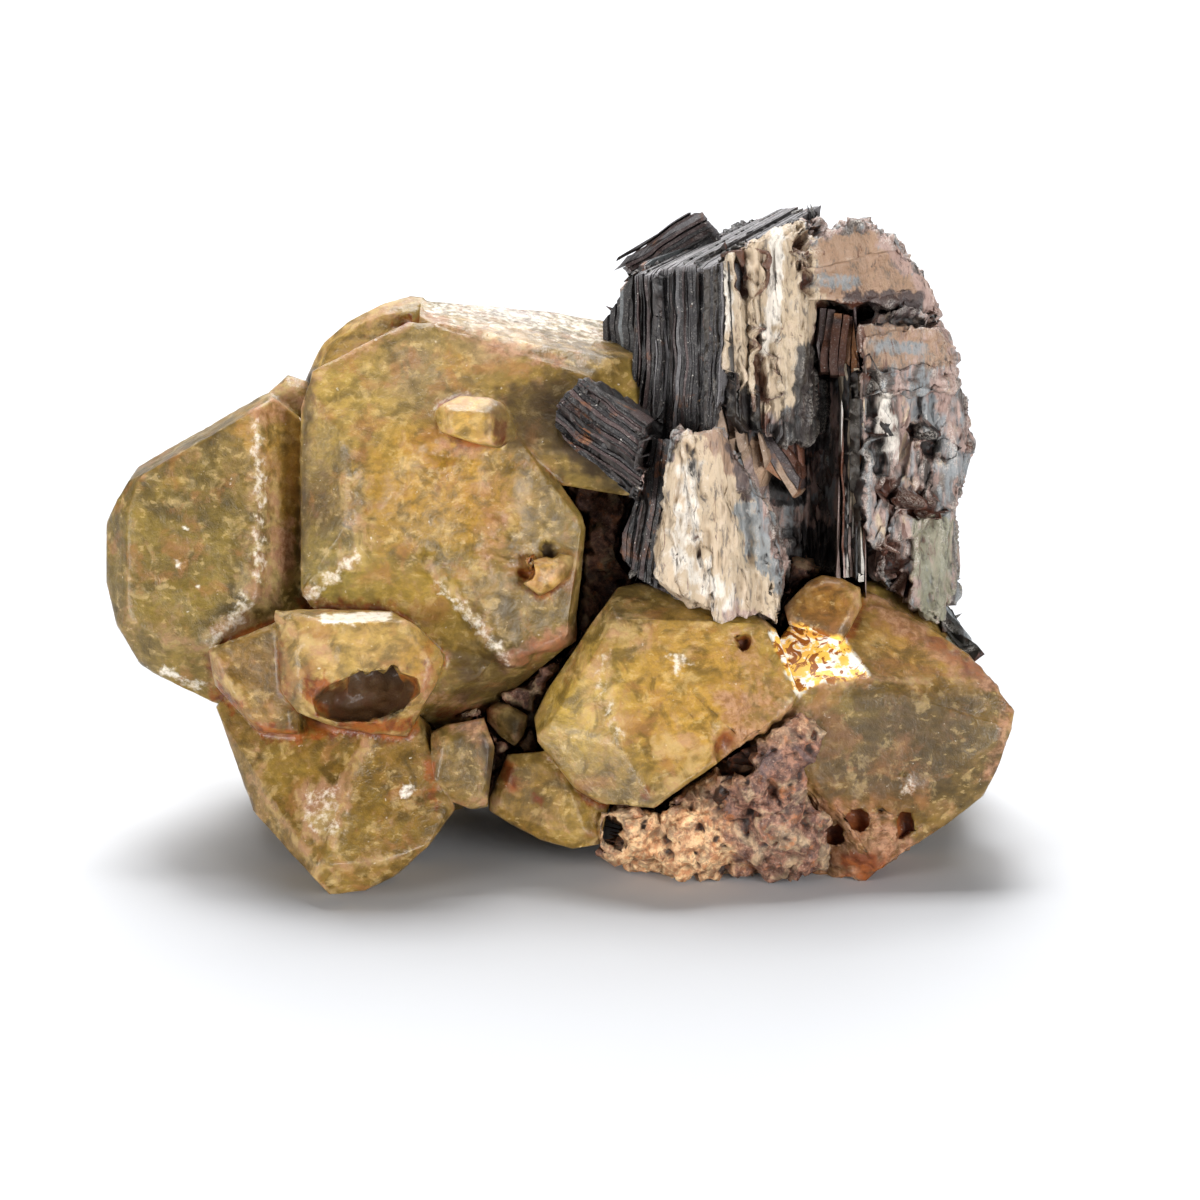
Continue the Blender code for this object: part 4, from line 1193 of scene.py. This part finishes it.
def matrix_piece(material):
    """The matrix: its solid, divided and roughened into lumps and pores."""
    points, faces = refined(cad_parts["matrix"].data, MATRIX_STEP)
    pairs = pairs_of(faces)
    points = smoothed(points, pairs, 3)
    normals = normals_of(points, faces)
    places = photo_places(points)
    stirred = [Vector(point) + noise.noise_vector(Vector(point) * 0.9) * 0.8 for point in points]
    pit = np.array([noise.voronoi(point * 0.85)[0][0] for point in stirred])
    pit = fade(0.38 - pit, 0.0, 0.26)
    hollow = strongest(MATRIX_HOLLOWS, places)
    lift = noise_at(points, 0.9, 4) * 0.40 - pit * 0.55 - hollow * 1.3
    pit = np.maximum(pit, hollow)
    thing = as_object("matrix_rock", points + normals * lift[:, None], faces, material)
    store(thing, "pit", pit)
    pale = strongest(MATRIX_MARKS, places)
    store(thing, "pale", pale * (0.75 + 0.35 * noise_at(points, 1.3, 3)))
    thing.data.shade_smooth()
    return thing


# The stage.

CAMERA_AWAY = 1.2
SENSOR = 36.0


def add_camera():
    u, v = seen(PHOTO_MIDDLE, PHOTO_MIDDLE)
    target = Vector(standing([(u, v, 0.0)])[0])
    line = Vector((0.0, -math.cos(VIEW_ABOVE), math.sin(VIEW_ABOVE)))
    data = bpy.data.cameras.new("camera")
    data.sensor_width = SENSOR
    data.lens = SENSOR * CAMERA_AWAY / (PHOTO_WIDTH / SCALE * MM)
    data.clip_start = 0.01
    data.clip_end = 20.0
    camera = bpy.data.objects.new("camera", data)
    camera.location = target + line * CAMERA_AWAY
    camera.rotation_euler = (math.radians(90.0) - VIEW_ABOVE, 0.0, 0.0)
    bpy.context.scene.collection.objects.link(camera)
    bpy.context.scene.camera = camera


def add_light(name, place, size, power, colour=(1.0, 1.0, 1.0)):
    """A square soft light at a place in metres, turned to the specimen's middle."""
    data = bpy.data.lights.new(name, "AREA")
    data.size = size
    data.energy = power
    data.color = colour
    light = bpy.data.objects.new(name, data)
    light.location = place
    towards = Vector((0.0, 0.0, 0.015)) - Vector(place)
    light.rotation_euler = towards.to_track_quat("-Z", "Y").to_euler()
    bpy.context.scene.collection.objects.link(light)


def add_stage():
    size = 2.0
    mesh = bpy.data.meshes.new("floor")
    corners = [(-size, -size, 0), (size, -size, 0), (size, size, 0), (-size, size, 0)]
    mesh.from_pydata(corners, [], [(0, 1, 2, 3)])
    mesh.materials.append(floor_material())
    floor = bpy.data.objects.new("floor", mesh)
    bpy.context.scene.collection.objects.link(floor)
    world = bpy.data.worlds.new("studio")
    world.use_nodes = True
    world.node_tree.nodes["Background"].inputs["Color"].default_value = (0.95, 0.97, 1.0, 1.0)
    world.node_tree.nodes["Background"].inputs["Strength"].default_value = 0.16
    bpy.context.scene.world = world
    add_light("top", (-0.04, 0.17, 0.52), 0.26, 3.4)
    add_light("back", (-0.02, 0.42, 0.36), 0.34, 2.6)
    add_light("front_left", (-0.42, -0.38, 0.05), 0.24, 3.7)
    add_light("front_right", (0.32, -0.45, 0.05), 0.25, 4.2)
    bpy.context.scene.view_settings.view_transform = "Standard"


def main():
    add_camera()
    add_stage()
    pieces = [
        (garnet_piece(garnet_material()), "garnet_cluster", "garnet"),
        (mica_piece(mica_material()), "mica_books", "mica"),
        (broken_mica(broken_material()), "mica_books", "mica"),
        (matrix_piece(matrix_material()), "matrix", "matrix"),
    ]
    for piece, node, slot in pieces:
        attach(piece, "root")
        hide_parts(node)


main()
